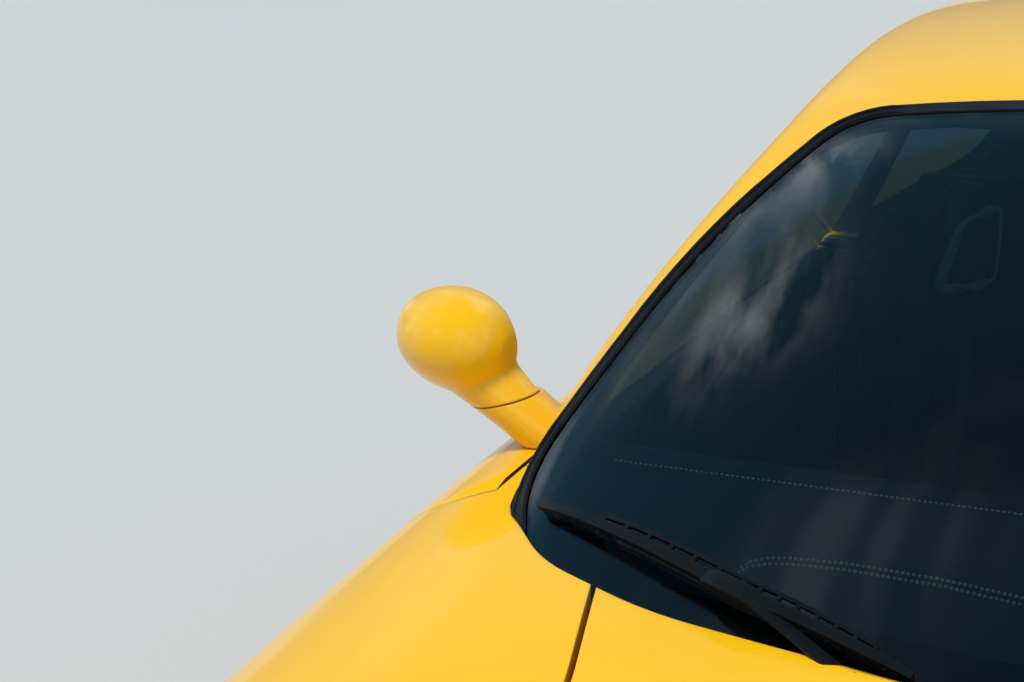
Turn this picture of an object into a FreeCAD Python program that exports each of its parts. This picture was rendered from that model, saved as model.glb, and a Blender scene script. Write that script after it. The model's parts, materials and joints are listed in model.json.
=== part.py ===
import FreeCAD, Part

import math
import os

import Sketcher
from FreeCAD import Rotation, Vector

# A two-plus-two coupe with its engine behind the rear axle.
# +Z up, the nose points along -Y, the car's right side is at -X.
# The origin is on the ground, midway along the car. Millimetres.

SIZES = (
    # name, value, what it is
    ("body_length", 4430, "nose to tail"),
    ("body_width", 1810, "over the rear haunches"),
    ("roof_height", 1300, "ground to roof peak"),
    ("front_overhang", 895, "nose to front axle"),
    ("wheelbase", 2350, "front axle to rear axle"),
    ("track_front", 1500, "between front tyre centres"),
    ("track_rear", 1495, "between rear tyre centres"),
    ("sheet_wall", 22, "wing, bonnet and bumper wall with its inner skin"),
    ("roof_wall", 30, "roof and pillar wall with its lining"),
    ("shut_gap", 6, "gap between panels that move"),
    ("seam_gap", 2, "gap between panels that are bolted"),
    ("seat_gap", 0.3, "gap round a lamp or pane in its seat"),
    ("screen_gap", 16, "room for a wiper arm between bonnet and windscreen"),
    ("glass_wall", 6, "windscreen and rear window glass"),
    ("door_glass_wall", 5, "side glass"),
    ("seal_width", 17, "rubber round the windscreen"),
    ("cabin_half_width", 700, "centre to inner face of a door"),
    ("cabin_front", 486, "front axle to the front bulkhead"),
    ("cabin_rear", 2140, "front axle to the rear bulkhead"),
    ("floor_bottom", 128, "ground to underside of the floor"),
    ("floor_wall", 32, "floor with its carpet"),
    ("bulkhead_wall", 20, "front and rear bulkhead"),
    ("belt_height", 880, "ground to the lower edge of the side glass"),
    ("door_front", 575, "front axle to the front edge of a door"),
    ("door_head", 142, "how far the door's top front corner lies behind its front edge"),
    ("door_rear", 1640, "front axle to the rear edge of a door at the belt"),
    ("door_bottom", 262, "ground to the lower edge of a door"),
    ("door_rake", 40, "how far the door's rear face slopes through its thickness"),
    ("bonnet_rear_half", 547, "half width of the bonnet at the windscreen"),
    ("bonnet_waist_half", 495, "half width of the bonnet where its sides begin to flare"),
    ("bonnet_front_half", 428, "half width of the bonnet at the nose"),
    ("lid_front", 2575, "front axle to the front edge of the engine lid"),
    ("lid_rear", 3245, "front axle to the rear edge of the engine lid"),
    ("lid_half_width", 440, "half width of the engine lid"),
    ("lamp_radius", 112, "headlamp"),
    ("tyre_front_radius", 323, ""),
    ("tyre_front_width", 235, ""),
    ("tyre_rear_radius", 333, ""),
    ("tyre_rear_width", 285, ""),
    ("rim_radius", 241, "bead seat of a 19 inch rim"),
    ("arch_gap", 30, "tyre tread to wheel arch lip"),
    ("house_gap", 47, "wheel arch lip to its liner"),
    ("liner_wall", 6, "wheel arch liner"),
    ("arch_inner", 452, "centre to the inner wall of a front wheelhouse"),
    ("rear_arch_inner", 560, "centre to the inner wall of a rear wheelhouse"),
    ("disc_radius", 165, "brake disc"),
    ("disc_wall", 28, "brake disc"),
    ("hub_radius", 72, ""),
    ("kingpin_radius", 14, ""),
    ("steering_radius", 185, "steering wheel"),
    ("seat_width", 470, ""),
    ("seat_offset", 375, "centre to the middle of a front seat"),
    ("engine_length", 620, ""),
    ("engine_width", 820, ""),
    ("engine_height", 420, ""),
    ("pipe_radius", 42, "exhaust tail pipe"),
    ("jack_pad_radius", 34, ""),
)

DRAWN_WIDTH = 1810.0
DRAWN_ROOF = 1300.0

doc = FreeCAD.newDocument("coupe")
sheet = doc.addObject("Spreadsheet::Sheet", "Sizes")
for row, (name, value, note) in enumerate(SIZES, 1):
    sheet.set(f"A{row}", name)
    sheet.set(f"B{row}", str(value))
    sheet.set(f"C{row}", note)
    sheet.setAlias(f"B{row}", name)
doc.recompute()


def size(name):
    return float(sheet.get(name))


WIDE = size("body_width") / DRAWN_WIDTH
TALL = size("roof_height") / DRAWN_ROOF
AXLE = size("front_overhang") - size("body_length") / 2
REAR_AXLE = AXLE + size("wheelbase")
NOSE = -size("body_length") / 2
TAIL = size("body_length") / 2
GAP = size("shut_gap")
SEAM = size("seam_gap")
WALL = size("sheet_wall")
BIG = 3000.0

# Lower body, one row per station. Distances are behind the front axle.
# y: station, top: height at the centre line, crest_x and crest_z: top of the wing,
# side_x and side_z: widest point, sill_x and sill_z: lower edge
HULL = (
    # y, top, crest_x, crest_z, side_x, side_z, sill_x, sill_z
    (None, 455, 250, 460, 330, 400, 250, 300),
    (None, 530, 420, 535, 600, 420, 520, 190),
    (-850, 560, 520, 575, 735, 450, 680, 150),
    (-740, 585, 590, 630, 815, 480, 770, 140),
    (-560, 632, 640, 708, 858, 540, 810, 140),
    (-340, 688, 660, 766, 888, 585, 832, 140),
    (-80, 748, 675, 828, 904, 612, 842, 140),
    (200, 802, 690, 856, 906, 624, 842, 140),
    (460, 868, 716, 886, 900, 632, 840, 140),
    (720, 893, 750, 903, 890, 636, 836, 140),
    (1050, 890, 775, 915, 882, 640, 835, 140),
    (1500, 890, 785, 925, 888, 650, 838, 140),
    (1950, 890, 795, 930, 902, 655, 850, 145),
    (2350, 880, 800, 920, 911, 655, 862, 155),
    (2700, 850, 785, 890, 902, 650, 850, 175),
    (3000, 810, 745, 842, 875, 640, 815, 200),
    (3250, 760, 680, 790, 830, 620, 760, 225),
    (3420, 715, 560, 745, 720, 600, 640, 250),
    (None, 690, 420, 705, 520, 590, 460, 250),
    (None, 640, 250, 650, 320, 580, 280, 330),
)

# Cabin, from the base of the windscreen over the roof to the tail.
# top: height at the centre line, rail_x and rail_z: pillar or roof rail, belt_x: half width at its foot
CABIN = (
    # y, top, rail_x, rail_z, belt_x
    (300, 770, 640, 700, 690),
    (480, 872, 660, 840, 722),
    (640, 1004, 722, 910, 762),
    (820, 1118, 684, 1034, 776),
    (980, 1208, 629, 1141, 787),
    (1090, 1262, 588, 1208, 792),
    (1230, 1294, 574, 1252, 797),
    (1420, 1310, 572, 1272, 801),
    (1700, 1300, 570, 1258, 797),
    (2000, 1252, 560, 1198, 775),
    (2300, 1162, 545, 1098, 735),
    (2600, 1048, 525, 985, 690),
    (2850, 950, 505, 885, 645),
    (3050, 866, 480, 806, 600),
    (3200, 790, 450, 735, 570),
    (3300, 730, 420, 680, 540),
)
CABIN_FOOT = 800.0


def place(y):
    return AXLE + y


def hull_poles(row):
    _, top, crest_x, crest_z, side_x, side_z, sill_x, sill_z = row
    rise = crest_z - top
    drop = crest_z - side_z
    low = side_z - sill_z
    return [
        (0, top),
        (0.42 * crest_x, top + 0.05 * rise),
        (0.80 * crest_x, top + 0.55 * rise),
        (crest_x, crest_z),
        (crest_x + 0.62 * (side_x - crest_x), crest_z - 0.12 * drop),
        (side_x, crest_z - 0.50 * drop),
        (side_x, side_z - 0.15 * low),
        (sill_x + 0.55 * (side_x - sill_x), side_z - 0.60 * low),
        (sill_x, sill_z),
    ]


def cabin_poles(row):
    _, top, rail_x, rail_z, belt_x = row
    crown = top - rail_z
    side = rail_z - min(CABIN_FOOT, rail_z - 60)
    out = belt_x - rail_x
    return [
        (0, top),
        (0.35 * rail_x, top - 0.05 * crown),
        (0.70 * rail_x, top - 0.34 * crown),
        (0.93 * rail_x, top - 0.74 * crown),
        (rail_x, rail_z),
        (rail_x + 0.12 * out, rail_z - 0.17 * side),
        (rail_x + 0.55 * out, rail_z - 0.60 * side),
        (belt_x, rail_z - side),
    ]


def inset(points, depth):
    """A half section moved inwards by depth, along the normals of its control polygon."""
    moved = []
    last = len(points) - 1
    for i, (x, z) in enumerate(points):
        ax, az = points[max(i - 1, 0)]
        bx, bz = points[min(i + 1, last)]
        run = math.hypot(bx - ax, bz - az)
        nx, nz = (bz - az) / run, -(bx - ax) / run
        if i == 0:
            nx, nz = 0.0, -1.0
        moved.append((x + nx * depth, z + nz * depth))
    return moved


def knots(count):
    spans = count - 3
    return [4] + [1] * (spans - 1) + [4], [float(k) for k in range(spans + 1)]


def closed_solid(rows):
    """A solid under a cubic surface whose poles are rows of points from the left sill to the right."""
    surface = Part.BSplineSurface()
    u_mults, u_knots = knots(len(rows))
    v_mults, v_knots = knots(len(rows[0]))
    surface.buildFromPolesMultsKnots(rows, u_mults, v_mults, u_knots, v_knots, False, False, 3, 3)
    u0, u1, v0, v1 = surface.bounds()
    faces = [surface.toShape()]
    ends = [surface.uIso(u).toShape() for u in (u0, u1)]
    for edge in ends:
        first, last = edge.Vertexes[0].Point, edge.Vertexes[-1].Point
        faces.append(Part.Face(Part.Wire([edge, Part.makeLine(last, first)])))
    left, right = surface.vIso(v0).toShape(), surface.vIso(v1).toShape()
    faces.append(Part.makeRuledSurface(left, right))
    shell = Part.makeShell(faces)
    shell.sewShape()
    solid = Part.makeSolid(shell)
    if solid.Volume < 0:
        solid.reverse()
    return solid


def section_row(half, y):
    left = [Vector(-x * WIDE, y, z * TALL) for x, z in reversed(half[1:])]
    right = [Vector(x * WIDE, y, z * TALL) for x, z in half]
    return left + right


def hull(depth, drop=0.0):
    """The lower body moved inwards by depth. Its foot is lowered by drop so that a cut with it is open below."""
    rows = []
    for i, row in enumerate(HULL):
        if row[0] is None:
            front = i < 2
            y = NOSE + depth if front else TAIL - depth
        else:
            y = place(row[0])
        half = inset(hull_poles(row), depth)
        foot_x, foot_z = half[-1]
        half[-1] = (foot_x, foot_z - drop)
        rows.append(section_row(half, y))
    return closed_solid(rows)


def cabin(depth, drop=0.0):
    rows = []
    for row in CABIN:
        half = inset(cabin_poles(row), depth)
        foot_x, foot_z = half[-1]
        half[-1] = (foot_x, foot_z - drop)
        rows.append(section_row(half, place(row[0])))
    return closed_solid(rows)


def rounded(corners):
    """A closed outline of straight runs with an arc at each corner. corners are (a, b, radius)."""
    count = len(corners)
    starts, ends, middles = [], [], []
    for i in range(count):
        a, b, radius = corners[i]
        here = Vector(a, b, 0)
        before = Vector(*corners[i - 1][:2], 0) - here
        after = Vector(*corners[(i + 1) % count][:2], 0) - here
        before.normalize()
        after.normalize()
        half = before.getAngle(after) / 2
        reach = radius / math.tan(half)
        starts.append(here + before * reach)
        ends.append(here + after * reach)
        bisector = before + after
        bisector.normalize()
        middles.append(here + bisector * (radius / math.sin(half) - radius))
    edges = []
    for i in range(count):
        if corners[i][2] > 0:
            edges.append(Part.Arc(starts[i], middles[i], ends[i]).toShape())
        run = starts[(i + 1) % count] - ends[i]
        if run.Length > 1e-3:
            edges.append(Part.makeLine(ends[i], starts[(i + 1) % count]))
    return Part.Wire(edges)


def plan_prism(corners, low, high):
    """A prism whose outline is drawn from above, as (x, distance behind the front axle, radius)."""
    wire = rounded([(x * WIDE, place(y), r) for x, y, r in corners])
    wire.translate(Vector(0, 0, low))
    return Part.Face(wire).extrude(Vector(0, 0, high - low))


def side_prism(corners, low, high):
    """A prism whose outline is drawn from the side, as (distance behind the front axle, z, radius)."""
    wire = rounded([(place(y), z * TALL, r) for y, z, r in corners])
    wire.rotate(Vector(), Vector(1, 1, 1), 120)
    wire.translate(Vector(low, 0, 0))
    return Part.Face(wire).extrude(Vector(high - low, 0, 0))


def box(x0, x1, y0, y1, z0, z1):
    return Part.makeBox(x1 - x0, y1 - y0, z1 - z0, Vector(x0, y0, z0))


def rod(start, end, radius):
    start, end = Vector(*start), Vector(*end)
    return Part.makeCylinder(radius, (end - start).Length, start, end - start)


def mirrored(shape):
    return shape.mirror(Vector(), Vector(1, 0, 0))


def grow(corners, margin):
    """The outline moved outwards by margin. Corners go round counter-clockwise."""
    count = len(corners)
    grown = []
    for i, (a, b, radius) in enumerate(corners):
        pa, pb, _ = corners[i - 1]
        na, nb, _ = corners[(i + 1) % count]
        d1 = Vector(a - pa, b - pb, 0)
        d2 = Vector(na - a, nb - b, 0)
        d1.normalize()
        d2.normalize()
        n1, n2 = Vector(d1.y, -d1.x, 0), Vector(d2.y, -d2.x, 0)
        shift = (n1 + n2) * (margin / (1 + n1.dot(n2)))
        grown.append((a + shift.x, b + shift.y, max(radius + margin, 0)))
    return grown


nodes = {}


def keep(label, shape):
    """One sub-part: its solids in one object with its own label."""
    solids = shape.Solids
    feature = doc.addObject("Part::Feature", label)
    feature.Label = label
    feature.Shape = solids[0] if len(solids) == 1 else Part.makeCompound(solids)
    nodes[label] = feature
    return feature


def largest(shape):
    return max(shape.Solids, key=lambda s: s.Volume)


SIDES = (("right", -1), ("left", 1))


def on_side(shape, side):
    """shape is drawn on the left, at +X."""
    return shape if side > 0 else mirrored(shape)


# Solids that the panels are cut from
half = size("cabin_half_width")
hull_outer = hull(0)
hull_inner = hull(WALL, 60)
cabin_outer = cabin(0)
cabin_inner = cabin(size("roof_wall"), 60)
wiper_room = cabin(-size("screen_gap"), 200)
seal_room = cabin(-1 - SEAM, 200)
pillar_room = cabin(-GAP)
under_skin = hull(WALL + SEAM)
skin = hull_outer.fuse(cabin_outer).cut(hull_inner.fuse(cabin_inner))


HOUSE_OUTER = 845 * WIDE


def arch(axle, tyre_radius, inner, margin=0.0):
    """The two wheelhouses of an axle: a round opening in the skin and a wider house behind it."""
    lip = rod((inner - margin, axle, tyre_radius), (BIG, axle, tyre_radius), tyre_radius + size("arch_gap"))
    radius = tyre_radius + size("arch_gap") + size("house_gap") + margin
    house = rod((inner - margin, axle, tyre_radius), (HOUSE_OUTER, axle, tyre_radius), radius)
    left = lip.fuse(house)
    return left.fuse(mirrored(left))


FRONT_TYRE = size("tyre_front_radius")
REAR_TYRE = size("tyre_rear_radius")
FRONT_HOUSE = size("arch_inner")
REAR_HOUSE = size("rear_arch_inner")
front_arch = arch(AXLE, FRONT_TYRE, FRONT_HOUSE)
rear_arch = arch(REAR_AXLE, REAR_TYRE, REAR_HOUSE)
arches = front_arch.fuse(rear_arch)

# Shut lines and openings. Plans are (x, behind the front axle, radius), sides are (behind, z, radius)
REAR_HALF = size("bonnet_rear_half")
FRONT_HALF = size("bonnet_front_half")
WAIST_HALF = size("bonnet_waist_half")
BONNET = [
    (-REAR_HALF - 80, 734, 0), (-REAR_HALF, 476, 0), (-WAIST_HALF, 300, 500), (-FRONT_HALF, -560, 0),
    (-FRONT_HALF + 60, -960, 0), (FRONT_HALF - 60, -960, 0), (FRONT_HALF, -560, 0),
    (WAIST_HALF, 300, 500), (REAR_HALF, 476, 0), (REAR_HALF + 80, 734, 0),
]
# Edge of the bonnet and wings over the foot of the windscreen, with all that lies behind it
SCUTTLE = [
    (0, 404, 3000), (490, 456, 400), (620, 506, 150), (705, 603, 90), (745, 800, 0),
    (-745, 800, 0), (-705, 603, 90), (-620, 506, 150), (-490, 456, 400),
]
BUMPER = [(-960, 40, 0), (-330, 40, 0), (-330, 455, 0), (-560, 520, 60), (-960, 590, 0)]
SCREEN = [
    (0, 362, 3000), (495, 412, 400), (640, 470, 150), (716, 634, 150), (625, 905, 700), (508, 1092, 90),
    (-508, 1092, 90), (-625, 905, 700), (-716, 634, 150), (-640, 470, 150), (-495, 412, 400),
]
REAR_SCREEN = [(-452, 1850, 70), (452, 1850, 70), (425, 2478, 90), (-425, 2478, 90)]
DOOR_REAR = size("door_rear")
DOOR_FRONT = size("door_front")
DOOR_HEAD = DOOR_FRONT + size("door_head")
BELT = size("belt_height")
DOOR = [
    (DOOR_FRONT, size("door_bottom"), 25), (DOOR_REAR - 75, size("door_bottom"), 130),
    (DOOR_REAR, 560, 300), (DOOR_REAR, BELT + 220, 0), (DOOR_HEAD, BELT + 220, 0),
    (DOOR_HEAD, BELT + 14, 12), (DOOR_FRONT + 62, BELT - 6, 60), (DOOR_FRONT, BELT - 120, 90),
]
DOOR_GLASS = [
    (815, BELT - 50, 0), (DOOR_REAR - 32, BELT - 50, 0), (DOOR_REAR - 32, BELT + 55, 0),
    (DOOR_REAR - 3, BELT + 55, 0), (DOOR_REAR - 3, 1222, 20),
    (1420, 1238, 300), (1196, 1212, 120), (800, 950, 40),
]
QUARTER_GLASS = [
    (DOOR_REAR + 5, 930, 12), (2080, 950, 60), (2150, 1040, 60), (1900, 1186, 200), (DOOR_REAR + 5, 1222, 12),
]
LID_FRONT = size("lid_front")
LID_REAR = size("lid_rear")
LID_HALF = size("lid_half_width")
LID = [
    (-LID_HALF, LID_FRONT, 30), (LID_HALF, LID_FRONT, 30),
    (LID_HALF - 40, LID_REAR, 30), (-LID_HALF + 40, LID_REAR, 30),
]
REAR_BUMPER = [(2640, 100, 0), (3700, 100, 0), (3700, 640, 0), (2980, 640, 30), (2840, 500, 40), (2640, 480, 0)]
CORNER = [(500, 300, 0), (738, 300, 0), (738, 800, 12), (500, 800, 0)]


def door_region(margin):
    """The left door's room, with its rear face raked so that the inner edge clears the shut face."""
    reach = 1000.0
    wire = rounded([(place(y), z * TALL, r) for y, z, r in grow(DOOR, margin)])
    wire.rotate(Vector(), Vector(1, 1, 1), 120)
    slope = size("door_rake") / (890 * WIDE - half)
    start = half - 200
    wire.translate(Vector(start, -slope * (890 * WIDE - start), 0))
    room = Part.Face(wire).extrude(Vector(reach, slope * reach, 0))
    corner = plan_prism(grow(CORNER, GAP - margin), 0, BIG)
    return room.cut(corner)


# Lamps are cut through the wing along a tilted axis
LAMP_PLACE = Vector(590 * WIDE, place(-640), 620 * TALL)
LAMP_AXIS = Vector(0.22, -0.72, 0.66)


def lamp(radius, front, back):
    axis = Vector(LAMP_AXIS).normalize()
    return Part.makeCylinder(radius, front + back, LAMP_PLACE - axis * back, axis)


LAMP_RADIUS = size("lamp_radius")

scuttle_cut = plan_prism(SCUTTLE, 600, BIG)
bonnet_room = plan_prism(BONNET, 400, BIG)
bonnet_cut = plan_prism(grow(BONNET, GAP), 400, BIG)
bumper_room = side_prism(BUMPER, -BIG, BIG)
bumper_cut = side_prism(grow(BUMPER, SEAM), -BIG, BIG)
bumper_clear = side_prism(grow(BUMPER, GAP), -BIG, BIG)
LID_REAR_EDGE = LID_REAR - 60
DECK = [(-545, LID_REAR_EDGE, 0), (545, LID_REAR_EDGE, 0), (600, 3700, 0), (-600, 3700, 0)]
rear_bumper_room = side_prism(REAR_BUMPER, -BIG, BIG).fuse(plan_prism(DECK, 400, BIG))
rear_bumper_cut = side_prism(grow(REAR_BUMPER, SEAM), -BIG, BIG).fuse(plan_prism(grow(DECK, SEAM), 400, BIG))
lid_room = plan_prism(LID, 500, BIG)
lid_cut = plan_prism(grow(LID, GAP), 500, BIG)
ahead = box(-BIG, BIG, -BIG, place(DOOR_HEAD) - GAP, 0, BIG)
door_room = door_region(0)
door_room_grown = door_region(GAP)


# Front
def front_openings():
    """Cooling mouths of the front bumper: one in the middle and one on each side."""
    deep = 260
    mouth = [(-330, 190, 25), (330, 190, 25), (300, 300, 30), (-300, 300, 30)]
    side = [(400, 205, 25), (690, 225, 30), (690, 330, 30), (390, 310, 25)]
    shapes = []
    for corners in (mouth, side):
        wire = rounded([(x * WIDE, z * TALL, r) for x, z, r in corners])
        wire.rotate(Vector(), Vector(1, 0, 0), 90)
        wire.translate(Vector(0, NOSE - 50, 0))
        shapes.append(Part.Face(wire).extrude(Vector(0, deep + 50, 0)))
    return shapes[0].fuse([shapes[1], mirrored(shapes[1])])


def front_bumper():
    panel = skin.common(bumper_room).cut(front_arch).cut(front_openings())
    return panel.cut(lamp(LAMP_RADIUS + SEAM, 300, 60)).cut(mirrored(lamp(LAMP_RADIUS + SEAM, 300, 60)))


def wing():
    panel = skin.common(ahead).common(box(0, BIG, -BIG, BIG, size("door_bottom"), BIG))
    panel = panel.cut([
        bonnet_cut, bumper_cut, front_arch, scuttle_cut, seal_room, door_room_grown,
        lamp(LAMP_RADIUS + SEAM, 300, 130),
    ])
    return largest(panel)


def bonnet():
    panel = skin.common(bonnet_room).cut([bumper_clear, scuttle_cut, wiper_room])
    return largest(panel)


lamp_shell = hull(3).cut(hull(8))


def headlamp_lenses():
    lens = largest(lamp_shell.common(lamp(LAMP_RADIUS, 300, 100)))
    return Part.makeCompound([lens, mirrored(lens)])


def headlamp_bowls():
    bowl = lamp(LAMP_RADIUS, 300, 120).cut(lamp(LAMP_RADIUS - 8, 300, 100)).common(hull(8.3))
    bowl = largest(bowl)
    return Part.makeCompound([bowl, mirrored(bowl)])


# Doors
side_glass = cabin_outer.cut(cabin(size("door_glass_wall")))
slot_shell = cabin(-3).cut(cabin(size("door_glass_wall") + 3))
GLASS_SLOT = [(803, BELT - 54, 0), (DOOR_REAR + 300, BELT - 54, 0), (DOOR_REAR + 300, 1300, 0), (803, 1300, 0)]


def door():
    leaf = hull_outer.common(door_room).common(box(half, BIG, -BIG, BIG, 0, BIG))
    return largest(leaf.cut(slot_shell.common(side_prism(GLASS_SLOT, 300, BIG))))


def door_glass():
    return largest(side_glass.common(side_prism(DOOR_GLASS, 300, BIG)))


# Fixed body sides: rear quarter, sill, hinge post and lock post
def side_panel():
    low = size("door_bottom")
    front = place(DOOR_HEAD) - GAP
    quarter = skin.common(box(0, BIG, front + SEAM, BIG, 0, BIG)).common(hull_outer)
    sill = hull_outer.common(box(half, BIG, AXLE + 300, REAR_AXLE - 300, 0, low - GAP))
    post = hull_outer.common(box(half, BIG, place(size("cabin_front")), place(820), 0, BIG))
    post = post.cut(box(0, BIG, -BIG, front + SEAM, low - SEAM, BIG).cut(under_skin))
    lock = hull_outer.common(box(half, BIG, place(DOOR_REAR) - 200, place(DOOR_REAR) + 90, 0, BIG))
    pads = [rod((PAD_X, y, PAD_LOW), (PAD_X, y, PAD_LOW + 60), size("jack_pad_radius")) for y in PAD_PLACES]
    panel = quarter.fuse([sill, post, lock] + pads)
    panel = panel.cut([door_room_grown, arches, lid_cut, rear_bumper_cut, tail_cut])
    panel = panel.cut(box(-BIG, half, place(size("cabin_front")) - 1, place(size("cabin_rear")), 0, BELT - 40))
    return largest(panel)


# Round pads under the sills, where a jack lifts the car
PAD_X = 762.0
PAD_LOW = size("floor_bottom") - 8
PAD_PLACES = (place(620), place(1720))

# Roof with its pillars
screen_room = plan_prism(SCREEN, 780, BIG)
rear_screen_room = plan_prism(REAR_SCREEN, 980, BIG)


def roof_frame():
    frame = skin.cut(hull_outer).cut([screen_room, rear_screen_room, lid_cut, rear_bumper_cut])
    for corners in (grow(DOOR_GLASS, GAP), grow(QUARTER_GLASS, 0.3)):
        window = side_prism(corners, 350, BIG)
        frame = frame.cut([window, mirrored(window)])
    return largest(frame)


def glass_pane(corners, margin, low):
    shell = cabin(1).cut(cabin(1 + size("glass_wall"), 40))
    return largest(shell.common(plan_prism(grow(corners, margin), low, BIG)))


def windscreen():
    return glass_pane(SCREEN, -size("seal_width"), 780)


seal_shell = cabin(-1).cut(cabin(12, 40))


def windscreen_seal():
    ring = seal_shell.common(screen_room).cut(plan_prism(grow(SCREEN, -size("seal_width")), 600, BIG))
    return largest(ring.cut([nodes_shape("side_left"), nodes_shape("side_right")]))


def rear_windows():
    rear = glass_pane(REAR_SCREEN, -0.3, 980)
    quarter = largest(side_glass.common(side_prism(QUARTER_GLASS, 300, BIG)))
    return Part.makeCompound([rear, quarter, mirrored(quarter)])


# Tail
TAIL_LAMP = [(3080, 560, 30), (3700, 560, 0), (3700, 662, 0), (3080, 700, 30)]


def tail_lamps():
    unit = skin.common(side_prism(TAIL_LAMP, 450, BIG))
    unit = largest(unit)
    return Part.makeCompound([unit, mirrored(unit)])


SEAT = size("seat_gap")
tail_cut = side_prism(grow(TAIL_LAMP, SEAT), 450 - SEAT, BIG)


def rear_bumper():
    panel = skin.common(rear_bumper_room).cut([rear_arch, tail_cut, mirrored(tail_cut), lid_cut])
    for x, z in PIPES:
        panel = panel.cut(rod((x * WIDE, TAIL - 300, z), (x * WIDE, TAIL + 50, z), size("pipe_radius") + 12))
    return largest(panel)


PIPES = ((-430, 300), (430, 300))


def engine_lid():
    return largest(skin.common(lid_room))


# Floor with its tunnel, bulkheads and arch liners
CABIN_FRONT = place(size("cabin_front"))
CABIN_REAR = place(size("cabin_rear"))
FLOOR_LOW = size("floor_bottom")
FLOOR_TOP = FLOOR_LOW + size("floor_wall")
BULK = size("bulkhead_wall")
LINER = size("liner_wall")
TUNNEL_TOP = FLOOR_TOP + 140


def floor_pan():
    cabin_floor = box(-half, half, CABIN_FRONT - BULK, CABIN_REAR + BULK, FLOOR_LOW, FLOOR_TOP)
    front_floor = box(-FRONT_HOUSE + LINER, FRONT_HOUSE - LINER, place(-740), CABIN_FRONT, FLOOR_TOP - 15, FLOOR_TOP)
    rear_floor = box(-REAR_HOUSE + LINER, REAR_HOUSE - LINER, CABIN_REAR, place(2950), FLOOR_TOP - 15, FLOOR_TOP)
    tunnel = box(-110, 110, CABIN_FRONT, CABIN_REAR, FLOOR_TOP, TUNNEL_TOP)
    rear_wall = box(-half, half, CABIN_REAR, CABIN_REAR + BULK, FLOOR_LOW, BELT - 60)
    shelf = box(-half, half, CABIN_REAR, place(2520), BELT - 75, BELT - 60)
    pan = cabin_floor.fuse([front_floor, rear_floor, tunnel, rear_wall, shelf])
    pan = pan.cut([front_arch_grown, rear_arch_grown, nodes_shape("side_left"), nodes_shape("side_right")])
    return largest(pan)


front_arch_grown = arch(AXLE, FRONT_TYRE, FRONT_HOUSE, LINER)
rear_arch_grown = arch(REAR_AXLE, REAR_TYRE, REAR_HOUSE, LINER)


def wheel_liners():
    """The four wheelhouse liners, open below."""
    shells = front_arch_grown.cut(front_arch).fuse(rear_arch_grown.cut(rear_arch))
    shells = shells.common(under_skin).common(box(-BIG, BIG, -BIG, BIG, FLOOR_TOP - 15, BIG))
    shells = shells.cut([nodes_shape("side_left"), nodes_shape("side_right")])
    return Part.makeCompound([s for s in shells.Solids if s.Volume > 1e5])


def scuttle_panel():
    """The front bulkhead with the shelf under the foot of the windscreen."""
    wall = box(-half, half, CABIN_FRONT - BULK, CABIN_FRONT, FLOOR_TOP, BIG).common(hull(WALL + 30))
    shelf = hull(WALL + 34).cut(hull(WALL + 42)).common(plan_prism(COWL, 500, BIG))
    panel = wall.fuse(shelf)
    panel = panel.cut([front_arch_grown, seal_shell, nodes_shape("side_left"), nodes_shape("side_right")])
    return largest(panel)


def nodes_shape(label):
    return nodes[label].Shape


def luggage_tub():
    outer = box(-430, 430, place(-480), place(240), FLOOR_TOP, BIG).common(hull(WALL + 10))
    inner = box(-422, 422, place(-472), place(232), FLOOR_TOP + 12, BIG)
    return largest(outer.cut(inner))


COWL = [(-640, 250, 0), (640, 250, 0), (640, 470, 0), (-640, 470, 0)]

# Inside
DASH = [
    (500, 640, 0), (620, 620, 40), (770, 700, 30), (815, 800, 30), (808, 905, 40), (700, 918, 60), (500, 838, 0),
]
CONSOLE = [(790, TUNNEL_TOP, 0), (1560, TUNNEL_TOP, 0), (1560, 380, 40), (960, 420, 90), (860, 690, 40), (790, 690, 0)]
WHEEL_PLACE = Vector(size("seat_offset"), place(1020), 800)
WHEEL_AXIS = Vector(0, 0.92, 0.39).normalize()
HUB_DEPTH = 50


def dashboard():
    board = side_prism(DASH, -680, 680).common(cabin(36, 400))
    start = WHEEL_PLACE - WHEEL_AXIS * 300
    column = Part.makeCylinder(28, 300 - HUB_DEPTH - 1, start, WHEEL_AXIS)
    return largest(board.fuse(column))


def centre_console():
    return side_prism(CONSOLE, -95, 95).cut(nodes_shape("dashboard"))


def steering_wheel():
    """The rim, drawn about Z with its three spokes and hub, then laid on the column."""
    radius = size("steering_radius")
    grip = 15
    octagon = [math.radians(22.5 + 45 * k) for k in range(9)]
    section = Part.makePolygon([Vector(radius - grip + grip * math.cos(a), 0, grip * math.sin(a)) for a in octagon])
    wheel = Part.Face(section).revolve(Vector(), Vector(0, 0, 1), 360)
    pieces = [rod((0, 0, -HUB_DEPTH), (0, 0, -6), 48)]
    for turn in (0, 180, 270):
        spoke = box(30, radius - grip, -17, 17, -18, -6)
        spoke.rotate(Vector(), Vector(0, 0, 1), turn)
        pieces.append(spoke)
    wheel = wheel.fuse(pieces)
    wheel.Placement = FreeCAD.Placement(WHEEL_PLACE, Rotation(Vector(0, 0, 1), WHEEL_AXIS))
    return wheel


SHELL_SIDE = [
    (1000, 200, 20), (1470, 190, 60), (1745, 1000, 20), (1690, 1020, 20), (1560, 640, 200), (1360, 400, 80),
    (1000, 345, 30),
]
SHELL_INSIDE = [(900, 268, 0), (1430, 232, 60), (1712, 1060, 0), (1300, 1300, 0), (900, 900, 0)]
SQUAB = [(985, 262, 0), (1419, 232.7, 0), (1447, 290, 30), (1240, 320, 150), (985, 322, 40)]
BACKREST = [(1450, 291, 0), (1700, 1024, 0), (1668, 1010, 30), (1560, 660, 300), (1410, 325, 40)]
SEAT_HALF = size("seat_width") / 2


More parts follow.
